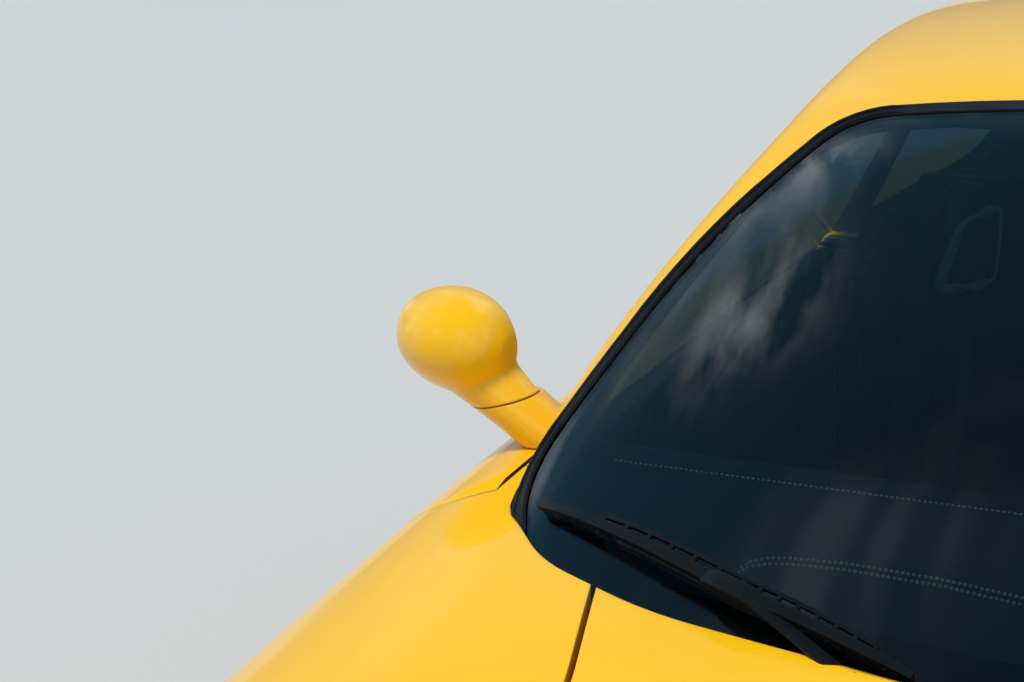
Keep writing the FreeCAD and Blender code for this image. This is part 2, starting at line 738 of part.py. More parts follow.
def seat_shells():
    shells = []
    for centre in (-size("seat_offset"), size("seat_offset")):
        shell = side_prism(SHELL_SIDE, centre - SEAT_HALF, centre + SEAT_HALF)
        shell = shell.cut(side_prism(SHELL_INSIDE, centre - SEAT_HALF + 35, centre + SEAT_HALF - 35))
        for x in (-147, 147):
            hole = box(centre + x - 28, centre + x + 28, place(1500), place(1850), 885, 965)
            shell = shell.cut(hole)
            rail = box(centre + x * 1.3 - 18, centre + x * 1.3 + 18, place(1060), place(1440), FLOOR_TOP, 215)
            shell = shell.fuse(rail)
        shells.append(largest(shell))
    return Part.makeCompound(shells)


def seat_pads():
    shells = nodes_shape("seat_shells")
    pads = []
    for centre in (-size("seat_offset"), size("seat_offset")):
        for corners in (SQUAB, BACKREST):
            pad = side_prism(corners, centre - SEAT_HALF + 36, centre + SEAT_HALF - 36)
            pads.append(largest(pad.cut(shells)))
    return Part.makeCompound(pads)


REAR_SEAT = [
    (1760, FLOOR_TOP, 0), (2138, FLOOR_TOP, 0), (2138, 770, 0), (2085, 770, 25), (2010, 420, 50), (1760, 440, 40),
]


def rear_seat():
    seat = side_prism(REAR_SEAT, -REAR_HOUSE + LINER + 4, REAR_HOUSE - LINER - 4)
    return largest(seat.cut(nodes_shape("floor_pan")))


def engine_block():
    block = doc.addObject("Part::Box", "engine_block")
    block.setExpression("Length", "Sizes.engine_width")
    block.setExpression("Width", "Sizes.engine_length")
    block.setExpression("Height", "Sizes.engine_height")
    block.setExpression("Placement.Base.x", "-Sizes.engine_width / 2")
    block.setExpression("Placement.Base.y", "Sizes.front_overhang - Sizes.body_length / 2 + 2430")
    block.setExpression("Placement.Base.z", "Sizes.floor_bottom + Sizes.floor_wall")
    nodes["engine_block"] = block


def exhaust():
    silencer = rod((-520, place(3290), 300), (520, place(3290), 300), 82)
    pieces = [silencer]
    for x, z in PIPES:
        pieces.append(rod((x, place(3290), z), (x, TAIL - 3, z), size("pipe_radius")))
        pieces.append(rod((x * 0.5, place(3053), 300), (x * 0.5, place(3290), 300), 28))
    pipes = pieces[0].fuse(pieces[1:])
    for x, z in PIPES:
        pipes = pipes.cut(rod((x, TAIL - 90, z), (x, TAIL, z), size("pipe_radius") - 3))
    return largest(pipes)


# Wheels
def outline(body, name, plane, loops, lift="0"):
    """A sketch in one of the body's planes. Each corner of its loops is held by two expressions."""
    drawing = body.newObject("Sketcher::SketchObject", name)
    support = next(feature for feature in body.Origin.OriginFeatures if feature.Role == plane)
    drawing.AttachmentSupport = [(support, "")]
    drawing.MapMode = "FlatFace"
    drawing.setExpression("AttachmentOffset.Base.z", lift)
    first = 0
    for corners in loops:
        count = len(corners)
        for i in range(count):
            here, there = 2 * math.pi * i / count, 2 * math.pi * (i + 1) / count
            start = Vector(100 * math.cos(here), 100 * math.sin(here), 0)
            drawing.addGeometry(Part.LineSegment(start, Vector(100 * math.cos(there), 100 * math.sin(there), 0)))
        for i, (across, up) in enumerate(corners):
            drawing.addConstraint(Sketcher.Constraint("Coincident", first + i, 2, first + (i + 1) % count, 1))
            for kind, expression, guess in (("DistanceX", across, 90.0 + 7 * i), ("DistanceY", up, 40.0 + 9 * i * i)):
                index = drawing.addConstraint(Sketcher.Constraint(kind, -1, 1, first + i, 1, guess))
                drawing.setExpression(f"Constraints[{index}]", expression)
        first += count
    return drawing


def revolved(body, name, corners, kind="PartDesign::Revolution"):
    """corners are (along the axle, radius)."""
    drawing = outline(body, name + "_outline", "XY_Plane", [corners])
    turned = body.newObject(kind, name)
    turned.Profile = drawing
    turned.ReferenceAxis = (drawing, ["H_Axis"])
    turned.Angle = 360
    return turned


def wheel_body(label, end, side):
    """An empty body at a wheel's place, turned so that its +X points away from the car."""
    body = doc.addObject("PartDesign::Body", label)
    body.Label = label
    if side < 0:
        body.Placement = FreeCAD.Placement(Vector(), Rotation(Vector(0, 0, 1), 180))
    body.setExpression("Placement.Base.x", f"{side} * Sizes.track_{end} / 2")
    base = "" if end == "front" else " + Sizes.wheelbase"
    body.setExpression("Placement.Base.y", "Sizes.front_overhang - Sizes.body_length / 2" + base)
    body.setExpression("Placement.Base.z", f"Sizes.tyre_{end}_radius")
    nodes[label] = body
    return body


def tyre(label, end, side):
    body = wheel_body(label, end, side)
    w, r = f"Sizes.tyre_{end}_width / 2", f"Sizes.tyre_{end}_radius"
    bead = "Sizes.rim_radius"
    left = [(f"-{w} + 20", bead), (f"-{w}", f"{bead} + 46"), (f"-{w} + 4", f"{r} - 20"), (f"-{w} + 26", r)]
    right = [(f"{w} - 26", r), (f"{w} - 4", f"{r} - 20"), (w, f"{bead} + 46"), (f"{w} - 20", bead)]
    revolved(body, label + "_section", left + right)


BORE = 24.0
SPOKE_PAIRS = 5
SPOKE_LEAN = 13


def rim(label, end, side):
    """Hub with the brake disc, five pairs of spokes dished inwards to the hub, and the barrel."""
    body = wheel_body(label, end, side)
    flange = f"Sizes.tyre_{end}_width / 2 - 6"
    face = f"Sizes.tyre_{end}_width / 2 - 72"
    hub, bead = "Sizes.hub_radius", "Sizes.rim_radius"
    disc, inner = "Sizes.disc_wall / 2", "Sizes.disc_radius"
    revolved(body, label + "_hub", [
        (f"{DISC_PLACE} - {disc}", f"{BORE}"), (f"{DISC_PLACE} - {disc}", inner),
        (f"{DISC_PLACE} + {disc}", inner), (f"{DISC_PLACE} + {disc}", f"{hub} - 12"),
        (f"{face} - 12", f"{hub} - 12"), (f"{face} - 12", hub), (f"{face} + 22", hub), (f"{face} + 22", "0"),
        (f"{DISC_PLACE} + 40", "0"), (f"{DISC_PLACE} + 40", f"{BORE}"),
    ])
    pair = []
    for lean in (-SPOKE_LEAN, SPOKE_LEAN):
        loop = []
        for across, reach in (("-19", f"({hub} - 10)"), ("19", f"({hub} - 10)"),
                              ("12", f"({bead} - 12)"), ("-12", f"({bead} - 12)")):
            loop.append((f"{across} * cos({lean} deg) - {reach} * sin({lean} deg)",
                         f"{across} * sin({lean} deg) + {reach} * cos({lean} deg)"))
        pair.append(loop)
    blades = outline(body, label + "_spoke_outline", "YZ_Plane", pair, f"{face} - 8")
    spoke = body.newObject("PartDesign::Pad", label + "_spoke")
    spoke.Profile = blades
    spoke.Length = 46
    ring = body.newObject("PartDesign::PolarPattern", label + "_spokes")
    ring.Originals = [spoke]
    ring.Axis = (blades, ["N_Axis"])
    ring.Angle = 360
    ring.Occurrences = SPOKE_PAIRS
    body.Tip = ring
    revolved(body, label + "_dish", [
        (f"{face} + 22", hub), (f"{face} + 80", hub), (f"{face} + 80", bead), (f"{face} + 37", bead),
    ], "PartDesign::Groove")
    revolved(body, label + "_barrel", [
        (f"-({flange})", f"{bead} + 7"), (f"-({flange})", f"{bead} - 16"), (flange, f"{bead} - 16"),
        (flange, f"{bead} + 7"), (f"{flange} - 8", f"{bead} + 7"), (f"{flange} - 8", bead),
        (f"-({flange}) + 8", bead), (f"-({flange}) + 8", f"{bead} + 7"),
    ])


DISC_PLACE = -30.0
UPRIGHT = -78.0
PIN_REACH = 150.0


def upright(centre, arms):
    """Hub carrier with its spindle and brake caliper, drawn about the wheel centre with +X outwards."""
    post = box(UPRIGHT - 16, UPRIGHT + 16, -34, 34, -PIN_REACH + 14, PIN_REACH - 14)
    spindle = rod((UPRIGHT, 0, 0), (DISC_PLACE + 38, 0, 0), BORE - 0.3)
    block = box(DISC_PLACE - 44, DISC_PLACE + 44, 105, 200, -75, 75)
    ring = rod((-200, 0, 0), (200, 0, 0), 205)
    slot = box(DISC_PLACE - 20, DISC_PLACE + 20, 0, 172, -120, 120)
    caliper = block.common(ring).cut(slot)
    lug = box(UPRIGHT - 16, UPRIGHT + 8, 20, 130, -30, 30)
    pieces = [spindle, caliper, lug]
    if arms:
        pieces.append(rod((UPRIGHT, 0, -PIN_REACH - 16), (UPRIGHT, 0, PIN_REACH + 16), size("kingpin_radius")))
    carrier = post.fuse(pieces)
    carrier.translate(centre)
    return largest(carrier)


FRONT_WHEEL = Vector(size("track_front") / 2, AXLE, FRONT_TYRE)
REAR_WHEEL = Vector(size("track_rear") / 2, REAR_AXLE, REAR_TYRE)


def suspension():
    pieces = []
    for level in (-PIN_REACH, PIN_REACH):
        eye = FRONT_WHEEL + Vector(UPRIGHT, 0, level)
        arm = box(FRONT_HOUSE - LINER - 2, eye.x, AXLE - 24, AXLE + 24, eye.z - 12, eye.z + 12)
        arm = arm.fuse(rod(eye - Vector(0, 0, 12), eye + Vector(0, 0, 12), 24))
        arm = arm.cut(rod(eye - Vector(0, 0, 20), eye + Vector(0, 0, 20), size("kingpin_radius") + 0.3))
        arm = arm.cut([nodes_shape("floor_pan"), nodes_shape("wheel_liners")])
        pieces += [largest(arm), mirrored(largest(arm))]
    carrier = upright(REAR_WHEEL, False)
    for level in (-PIN_REACH + 30, PIN_REACH - 30):
        eye = REAR_WHEEL + Vector(UPRIGHT, 0, level)
        carrier = carrier.fuse(box(REAR_HOUSE, eye.x, REAR_AXLE - 24, REAR_AXLE + 24, eye.z - 12, eye.z + 12))
    pieces += [carrier, mirrored(carrier)]
    return Part.makeCompound(pieces)


# Door mirrors. The arm and the pod are tubes through oval rings, drawn on the left side
# x, behind the front axle, z, lean of the ring's axis, half depth, half height
MIRROR_ARM = (
    (718, 800, 879, 38, 40, 30),
    (754, 796, 909, 38, 40, 28),
    (794, 792, 938, 38, 42, 27),
    (828, 794, 966, 36, 50, 34),
    (858, 800, 988, 20, 56, 42),
)
MIRROR_POD = (
    (791, 788, 994, 0, 19, 16),
    (800, 790, 995, 0, 47, 38),
    (822, 793, 995, 0, 64, 54),
    (859, 800, 999, 0, 73, 59),
    (902, 811, 1001, 0, 66, 51),
    (933, 823, 1000, 0, 43, 34),
    (943, 828, 999, 0, 17, 14),
)
RING_POLES = 8
RING_SWELL = 1.108
FOLD_PLACE = Vector(794, place(784), 942)
FOLD_AXIS = Vector(0.2113, 0, 0.9774)


def ring_solid(rows):
    """A tube through oval rings, closed by a flat cap at each end."""
    rings = []
    for x, y, z, lean, depth, height in rows:
        up = Vector(-math.sin(math.radians(lean)), 0, math.cos(math.radians(lean)))
        ring = []
        for k in range(RING_POLES):
            turn = 2 * math.pi * k / RING_POLES
            across = Vector(0, depth * math.cos(turn), 0) + up * (height * math.sin(turn))
            ring.append(Vector(x, place(y), z) + across * RING_SWELL)
        rings.append(ring)
    mults, values = knots(len(rings))
    surface = Part.BSplineSurface()
    surface.buildFromPolesMultsKnots(
        rings, mults, [1] * (RING_POLES + 1), values, [float(k) for k in range(RING_POLES + 1)],
        False, True, 3, 3)
    u0, u1, _, _ = surface.bounds()
    caps = [Part.Face(Part.Wire([surface.uIso(u).toShape()])) for u in (u0, u1)]
    shell = Part.makeShell([surface.toShape()] + caps)
    shell.sewShape()
    solid = Part.makeSolid(shell)
    if solid.Volume < 0:
        solid.reverse()
    return solid


def fold_half(margin):
    """The room above the plane in which the mirror folds, raised by margin."""
    room = box(-400, 400, -400, 400, margin, 800)
    room.Placement = FreeCAD.Placement(FOLD_PLACE, Rotation(Vector(0, 0, 1), FOLD_AXIS))
    return room


def mirror_head():
    arm = ring_solid(MIRROR_ARM).common(fold_half(SEAT))
    pod = ring_solid(MIRROR_POD)
    glass = rounded([(-62, -42, 36), (62, -42, 36), (62, 42, 36), (-62, 42, 36)])
    glass = Part.Face(glass).extrude(Vector(0, 0, 120))
    tilt = Rotation(Vector(0, 0, 1), MIRROR_SWEEP).multiply(Rotation(Vector(1, 0, 0), -90))
    glass.Placement = FreeCAD.Placement(Vector(864, place(823), 999), tilt)
    open_back = box(-200, 200, 0, 200, -200, 200)
    open_back.Placement = FreeCAD.Placement(Vector(864, place(834), 999), Rotation(Vector(0, 0, 1), MIRROR_SWEEP))
    return largest(pod.fuse(arm).cut([open_back, glass]))


MIRROR_SWEEP = 17


def mirror_foot():
    near_side = [side_shape.translated(Vector(*by)) for by in ((GAP, 0, 0), (0, 0, GAP))]
    foot = ring_solid(MIRROR_ARM).cut([
        fold_half(0), door_shape, side_shape, pillar_room, box(0, BIG, -BIG, place(DOOR_HEAD), 0, BIG),
    ] + near_side)
    return largest(foot)


# Wipers
def on_glass(x, y, lift):
    line = Part.makeLine(Vector(x * WIDE, place(y), 500), Vector(x * WIDE, place(y), BIG))
    top = max(vertex.Point.z for vertex in cabin_outer.common(line).Vertexes)
    return Vector(x * WIDE, place(y), top + lift)


# blade tip, arm's hook on the blade, blade end, arm over the bonnet's edge, spindle
WIPERS = (
    ((-660, 574), (-403, 490), (-222, 442), (-290, 438), (-120, 338)),
    ((-40, 452), (215, 470), (470, 494), (330, 441), (520, 380)),
)
BLADE_WIDTH, BLADE_DEPTH = 12.0, 9.0
ARM_WIDTH, ARM_DEPTH = 12.0, 5.0
BLADE_LIFT = 5.0


def ribbon(points, width, depth):
    """A straight-sided strip through the points, upright along its length."""
    sections = []
    last = len(points) - 1
    for i, spot in enumerate(points):
        run = points[min(i + 1, last)] - points[max(i - 1, 0)]
        side = Vector(-run.y, run.x, 0).normalize() * (width / 2)
        up = Vector(0, 0, depth / 2)
        corners = [spot + side + up, spot - side + up, spot - side - up, spot + side - up]
        sections.append(Part.makePolygon(corners + corners[:1]))
    return Part.makeLoft(sections, True, True)


def wipers():
    units = []
    for tip, hook, end, edge, foot in WIPERS:
        lift = BLADE_LIFT + BLADE_DEPTH / 2
        points = []
        for start, stop in ((tip, hook), (hook, end)):
            for share in (0, 0.34, 0.67):
                points.append(on_glass(*[a + share * (b - a) for a, b in zip(start, stop)], lift))
        points.append(on_glass(*end, lift))
        rise = BLADE_LIFT + ARM_DEPTH / 2
        under = on_glass(*[a + 0.4 * (b - a) for a, b in zip(edge, foot)], rise)
        stand = Vector(foot[0] * WIDE, place(foot[1]), under.z - 34)
        arm = [stand, under, on_glass(*edge, rise), points[3] + Vector(0, 0, BLADE_DEPTH / 2)]
        spindle = rod(stand - Vector(0, 0, 90), stand + Vector(0, 0, 6), 10)
        unit = ribbon(points, BLADE_WIDTH, BLADE_DEPTH).fuse([ribbon(arm, ARM_WIDTH, ARM_DEPTH), spindle])
        units.append(largest(unit.cut(nodes_shape("scuttle_panel"))))
    return Part.makeCompound(units)


keep("front_bumper", front_bumper())
keep("bonnet", bonnet())
wing_shape, door_shape, door_pane, side_shape = wing(), door(), door_glass(), side_panel()
for name, side in SIDES:
    keep(f"wing_{name}", on_side(wing_shape, side))
    keep(f"door_{name}", on_side(door_shape, side))
    keep(f"door_glass_{name}", on_side(door_pane, side))
    keep(f"side_{name}", on_side(side_shape, side))
keep("headlamp_lenses", headlamp_lenses())
keep("headlamp_bowls", headlamp_bowls())
keep("roof_frame", roof_frame())
keep("windscreen", windscreen())
keep("windscreen_seal", windscreen_seal())
keep("rear_windows", rear_windows())
keep("tail_lamps", tail_lamps())
keep("rear_bumper", rear_bumper())
keep("engine_lid", engine_lid())
keep("floor_pan", floor_pan())
keep("wheel_liners", wheel_liners())
keep("luggage_tub", luggage_tub())
keep("scuttle_panel", scuttle_panel())
keep("dashboard", dashboard())
keep("centre_console", centre_console())
keep("steering_wheel", steering_wheel())
keep("seat_shells", seat_shells())
keep("seat_pads", seat_pads())
keep("rear_seat", rear_seat())
engine_block()
keep("exhaust", exhaust())
keep("suspension", suspension())
keep("wipers", wipers())
foot_shape, head_shape, knuckle_shape = mirror_foot(), mirror_head(), upright(FRONT_WHEEL, True)
for name, side in SIDES:
    keep(f"mirror_foot_{name}", on_side(foot_shape, side))
    keep(f"mirror_head_{name}", on_side(head_shape, side))
    keep(f"knuckle_{name}", on_side(knuckle_shape, side))
    for end in ("front", "rear"):
        tyre(f"tyre_{end}_{name}", end, side)
        rim(f"rim_{end}_{name}", end, side)

doc.recompute()
for item in doc.Objects:
    if "Invalid" in item.State or "Error" in item.State:
        raise RuntimeError(f"{item.Label} could not be worked out")
os.makedirs("parts", exist_ok=True)
for label, feature in nodes.items():
    if feature.Shape.isNull() or not feature.Shape.isValid():
        raise RuntimeError(f"{label} is not a sound shape")
for label, feature in nodes.items():
    feature.Shape.exportStep(f"parts/{label}.step")
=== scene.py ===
import json
import math

import bmesh
import bpy
from mathutils import Matrix, Vector
from mathutils.bvhtree import BVHTree


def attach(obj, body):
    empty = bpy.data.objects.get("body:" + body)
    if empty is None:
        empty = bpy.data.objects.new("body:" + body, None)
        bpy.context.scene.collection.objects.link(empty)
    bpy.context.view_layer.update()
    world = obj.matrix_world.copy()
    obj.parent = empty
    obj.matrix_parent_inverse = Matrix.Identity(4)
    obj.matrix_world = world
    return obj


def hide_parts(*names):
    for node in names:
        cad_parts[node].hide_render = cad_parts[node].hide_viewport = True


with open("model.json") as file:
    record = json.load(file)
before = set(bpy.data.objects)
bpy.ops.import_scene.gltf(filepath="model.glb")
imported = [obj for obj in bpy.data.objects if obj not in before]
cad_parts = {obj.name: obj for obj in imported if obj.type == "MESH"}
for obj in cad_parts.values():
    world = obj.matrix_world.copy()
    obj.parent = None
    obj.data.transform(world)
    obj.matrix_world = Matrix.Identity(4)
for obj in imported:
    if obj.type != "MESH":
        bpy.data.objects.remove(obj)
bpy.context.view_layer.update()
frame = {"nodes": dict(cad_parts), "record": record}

# A yellow two-plus-two coupe. Metres, +Z up, the nose points along -Y, the car's right side is at -X.

NODES = frame["nodes"]
BODY_OF = {node: body for body, nodes in frame["record"]["behaviour"]["bodies"].items() for node in nodes}
AXLE = -1.320
SIDES = (("right", -1), ("left", 1))


def behind(y):
    """A place that far behind the front axle, in metres."""
    return AXLE + y


# Camera and light
CAMERA_PLACE = Vector((0.354, -2.774, 1.762))
CAMERA_YAW, CAMERA_PITCH, CAMERA_ROLL = math.radians(-27.0), math.radians(-16.7), math.radians(-1.6)
LENS = 84.7


def placed(name, data):
    """A new object that holds the mesh, curve, camera or lamp."""
    piece = bpy.data.objects.new(name, data)
    bpy.context.scene.collection.objects.link(piece)
    return piece


def place_camera():
    data = bpy.data.cameras.new("camera")
    data.lens = LENS
    data.sensor_width = 36.0
    camera = placed("camera", data)
    turn = Matrix.Rotation(-CAMERA_YAW, 4, "Z") @ Matrix.Rotation(math.radians(90) + CAMERA_PITCH, 4, "X")
    camera.matrix_world = Matrix.Translation(CAMERA_PLACE) @ turn @ Matrix.Rotation(CAMERA_ROLL, 4, "Z")
    bpy.context.scene.camera = camera


def add_node(tree, kind, inputs=None, **settings):
    """A shader node. Each input is given as a value, or as the socket that feeds it."""
    node = tree.nodes.new("ShaderNode" + kind)
    for name, value in settings.items():
        setattr(node, name, value)
    for name, value in (inputs or {}).items():
        if isinstance(value, bpy.types.NodeSocket):
            tree.links.new(value, node.inputs[name])
        else:
            node.inputs[name].default_value = value
    return node


def light_studio():
    """A blue dome with thin clouds, which the glass mirrors, and one broad lamp overhead for the shadows."""
    world = bpy.data.worlds.new("studio")
    bpy.context.scene.world = world
    world.use_nodes = True
    tree = world.node_tree
    back = tree.nodes["Background"]
    direction = add_node(tree, "TexCoord").outputs["Generated"]
    height = add_node(tree, "SeparateXYZ", {0: direction}).outputs["Z"]
    dome = add_node(tree, "ValToRGB", {"Fac": height})
    dome.color_ramp.elements.new(0.5)
    for element, (level, colour) in zip(dome.color_ramp.elements, DOME):
        element.position = level
        element.color = (*colour, 1)
    stretch = add_node(tree, "Mapping", {"Scale": CLOUD_STRETCH, "Vector": direction})
    noise = add_node(tree, "TexNoise", {"Scale": 1.0, "Detail": 5.0, "Distortion": 0.35,
                                        "Vector": stretch.outputs["Vector"]})
    thin = add_node(tree, "MapRange", {"From Min": 0.47, "From Max": 0.74, "Value": noise.outputs["Fac"]},
                    interpolation_type="SMOOTHERSTEP")
    clouds = add_node(tree, "Mix", {"Factor": thin.outputs["Result"], "A": dome.outputs["Color"],
                                    "B": CLOUD_LIGHT}, data_type="RGBA")
    tree.links.new(clouds.outputs["Result"], back.inputs["Color"])
    back.inputs["Strength"].default_value = WORLD_STRENGTH
    lamp = bpy.data.lights.new("high_lamp", "SUN")
    lamp.energy = LAMP_STRENGTH
    lamp.angle = math.radians(LAMP_SPREAD)
    lamp.color = LAMP_COLOUR
    high = placed("high_lamp", lamp)
    high.rotation_euler = Vector(LAMP_FROM).to_track_quat("Z", "Y").to_euler()
    high.visible_glossy = False
    high.visible_transmission = False


# sine of the height above the horizon, colour
DOME = ((0.02, (0.30, 0.32, 0.34)), (0.50, (0.20, 0.50, 0.76)), (0.95, (0.06, 0.15, 0.22)))
CLOUD_STRETCH = (2.6, 2.0, 1.1)
CLOUD_LIGHT = (1.7, 1.8, 1.9, 1)
WORLD_STRENGTH = 0.85
LAMP_STRENGTH = 2.65
LAMP_SPREAD = 16
LAMP_COLOUR = (1.0, 0.96, 0.90)
LAMP_FROM = (-0.15, -0.25, 0.96)
WISP_LIGHT = 3.2
WISP_STRETCH = (16.0, 6.0, 5.0)
place_camera()
light_studio()
bpy.context.scene.view_settings.view_transform = "Standard"


# Tools of the trade
def nothing_selected():
    if bpy.context.mode != "OBJECT":
        bpy.ops.object.mode_set(mode="OBJECT")
    bpy.ops.object.select_all(action="DESELECT")


def pick(piece):
    nothing_selected()
    piece.select_set(True)
    bpy.context.view_layer.objects.active = piece


def settle(piece):
    """Puts the piece's place, turn and size into its mesh."""
    pick(piece)
    bpy.ops.object.transform_apply(location=True, rotation=True, scale=True)
    return piece


def edit_all(piece):
    """The piece in edit mode, with all of it selected."""
    pick(piece)
    bpy.ops.object.mode_set(mode="EDIT")
    bpy.ops.mesh.select_mode(type="VERT")
    bpy.ops.mesh.select_all(action="SELECT")


def done():
    bpy.ops.object.mode_set(mode="OBJECT")


def done_outwards():
    """Ends the edit with every face pointing outwards."""
    bpy.ops.mesh.select_all(action="SELECT")
    bpy.ops.mesh.normals_make_consistent(inside=False)
    done()


def apply_modifier(piece, kind, **values):
    pick(piece)
    modifier = piece.modifiers.new(kind.lower(), kind)
    for key, value in values.items():
        setattr(modifier, key, value)
    bpy.ops.object.modifier_apply(modifier=modifier.name)
    return piece


def round_edges(piece, width, segments=2, angle=35):
    return apply_modifier(piece, "BEVEL", width=width, segments=segments, limit_method="ANGLE",
                          angle_limit=math.radians(angle), use_clamp_overlap=True)


def smooth(piece, angle=35):
    pick(piece)
    bpy.ops.object.shade_smooth_by_angle(angle=math.radians(angle))
    return piece


def finish(piece, body, material, angle=35):
    piece.data.materials.clear()
    piece.data.materials.append(material)
    smooth(piece, angle)
    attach(piece, body)
    return piece


def block(name, low, high):
    """A box between two corners."""
    low, high = Vector(low), Vector(high)
    nothing_selected()
    bpy.ops.mesh.primitive_cube_add(size=1.0, location=(low + high) / 2)
    piece = bpy.context.object
    piece.name = name
    piece.scale = high - low
    return settle(piece)


def drum(name, start, end, radius, count=32, taper=1.0):
    """A turned piece from start to end, its far end taper times as wide."""
    start, end = Vector(start), Vector(end)
    nothing_selected()
    bpy.ops.mesh.primitive_cone_add(vertices=count, radius1=radius, radius2=radius * taper,
                                    depth=(end - start).length, location=(start + end) / 2)
    piece = bpy.context.object
    piece.name = name
    piece.rotation_mode = "QUATERNION"
    piece.rotation_quaternion = (end - start).to_track_quat("Z", "Y")
    return settle(piece)


def spun(name, profile, centre, axis, steps=64):
    """A profile of (radius, along) points, turned about an axis through centre."""
    axis = Vector(axis).normalized()
    frame_turn = axis.to_track_quat("Z", "Y").to_matrix()
    mesh = bpy.data.meshes.new(name)
    points = [Vector(centre) + frame_turn @ Vector((radius, 0, along)) for radius, along in profile]
    mesh.from_pydata(points, [(i, i + 1) for i in range(len(points) - 1)], [])
    piece = placed(name, mesh)
    edit_all(piece)
    bpy.ops.mesh.spin(steps=steps, angle=math.tau, center=centre, axis=axis)
    bpy.ops.mesh.select_all(action="SELECT")
    bpy.ops.mesh.remove_doubles(threshold=1e-5)
    done_outwards()
    return piece


def tube(name, points, radius, closed=False, smooth_line=True, sides=3):
    """A round bead along points."""
    curve = bpy.data.curves.new(name, "CURVE")
    curve.dimensions = "3D"
    curve.bevel_depth = radius
    curve.bevel_resolution = sides
    curve.use_fill_caps = True
    spline = curve.splines.new("NURBS" if smooth_line else "POLY")
    spline.points.add(len(points) - 1)
    for point, spot in zip(spline.points, points):
        point.co = (*spot, 1.0)
    spline.use_cyclic_u = closed
    if smooth_line:
        spline.order_u = 3
        spline.use_endpoint_u = not closed
        spline.resolution_u = 4
    pick(placed(name, curve))
    bpy.ops.object.convert(target="MESH")
    return bpy.context.object


def joined(name, pieces):
    """One piece made of several."""
    nothing_selected()
    for piece in pieces:
        piece.select_set(True)
    bpy.context.view_layer.objects.active = pieces[0]
    bpy.ops.object.join()
    bpy.context.object.name = name
    return bpy.context.object


def merged_copy(node, name=None):
    """The node's triangles as one skin, merged, to be worked on."""
    mesh = NODES[node].data.copy()
    copy = placed(name or node + "_skin", mesh)
    edit_all(copy)
    bpy.ops.mesh.remove_doubles(threshold=2e-5)
    done()
    if mesh.has_custom_normals:
        bpy.ops.mesh.customdata_custom_splitnormals_clear()
    return copy


def dress(node, material):
    """The CAD node stays and gets a better material."""
    piece = NODES[node]
    for slot in piece.material_slots:
        slot.material = material


TREES = {}


def tree_of(*nodes):
    if nodes not in TREES:
        points, faces = [], []
        for node in nodes:
            mesh = NODES[node].data
            first = len(points)
            points += [v.co.copy() for v in mesh.vertices]
            faces += [[first + k for k in p.vertices] for p in mesh.polygons]
        TREES[nodes] = BVHTree.FromPolygons(points, faces)
    return TREES[nodes]


def seen_along(nodes, start, run):
    """Where a line from start first meets the nodes, with the surface's normal towards the line."""
    spot, normal, _, _ = tree_of(*nodes).ray_cast(Vector(start), Vector(run).normalized())
    if spot is None:
        return None, None
    if normal.dot(Vector(run)) > 0:
        normal = -normal
    return spot, normal


# Where the lines start that look at the car from above, from beside and from in front
ABOVE, BESIDE, AHEAD = 3.0, 1.4, -3.2
DOWN = (0, 0, -1)


def from_above(nodes, x, y):
    return seen_along(nodes, (x, y, ABOVE), DOWN)


def from_beside(nodes, sx, y, z):
    """The outside seen from the car's side, y being the distance behind the front axle."""
    return seen_along(nodes, (sx * BESIDE, behind(y), z), (-sx, 0, 0))


# Materials
def shared_group(name, inputs, outputs):
    group = bpy.data.node_groups.new(name, "ShaderNodeTree")
    for label, value in inputs:
        socket = group.interface.new_socket(label, in_out="INPUT", socket_type="NodeSocketFloat")
        socket.default_value = value
    for label in outputs:
        group.interface.new_socket(label, in_out="OUTPUT", socket_type="NodeSocketFloat")
    return group, group.nodes.new("NodeGroupInput"), group.nodes.new("NodeGroupOutput")


def noise_in(tree, scale=5.0, detail=2.0, roughness=0.5):
    return add_node(tree, "TexNoise", {"Scale": scale, "Detail": detail, "Roughness": roughness,
                                       "Vector": add_node(tree, "TexCoord").outputs["Object"]})


def build_cloud_group():
    """Soft patches, such as handling marks or dust: a value between Low and High."""
    inputs = [("Scale", 6.0), ("Low", 0.3), ("High", 0.5)]
    group, source, result = shared_group("soft patches", inputs, ["Value"])
    noise = noise_in(group, source.outputs["Scale"], 4.0, 0.6)
    patches = add_node(group, "MapRange", {
        "Value": noise.outputs["Fac"], "From Min": 0.35, "From Max": 0.68,
        "To Min": source.outputs["Low"], "To Max": source.outputs["High"]})
    group.links.new(patches.outputs["Result"], result.inputs["Value"])
    return group


def build_pebble_group():
    """The pebbled grain of leather or moulded plastic."""
    group, source, result = shared_group("pebble grain", [("Scale", 900.0)], ["Height"])
    scale = source.outputs["Scale"]
    cells = add_node(group, "TexVoronoi", {
        "Smoothness": 0.4, "Scale": scale,
        "Vector": add_node(group, "TexCoord").outputs["Object"]}, feature="SMOOTH_F1")
    noise = noise_in(group, scale)
    grain = add_node(group, "Math", {0: noise.outputs["Fac"], 1: 0.5, 2: cells.outputs["Distance"]},
                     operation="MULTIPLY_ADD")
    group.links.new(grain.outputs[0], result.inputs["Height"])
    return group


CLOUD = build_cloud_group()
PEBBLE = build_pebble_group()


def principled(name, colour, **sockets):
    material = bpy.data.materials.new(name)
    material.use_nodes = True
    shader = material.node_tree.nodes["Principled BSDF"]
    shader.inputs["Base Color"].default_value = (*colour, 1)
    for label, value in sockets.items():
        socket = shader.inputs[label.replace("_", " ")]
        socket.default_value = (*value, 1) if isinstance(value, tuple) else value
    return material, material.node_tree, shader


def vary_roughness(tree, shader, scale, low, high):
    patches = add_node(tree, "Group", {"Scale": scale, "Low": low, "High": high}, node_tree=CLOUD)
    tree.links.new(patches.outputs["Value"], shader.inputs["Roughness"])


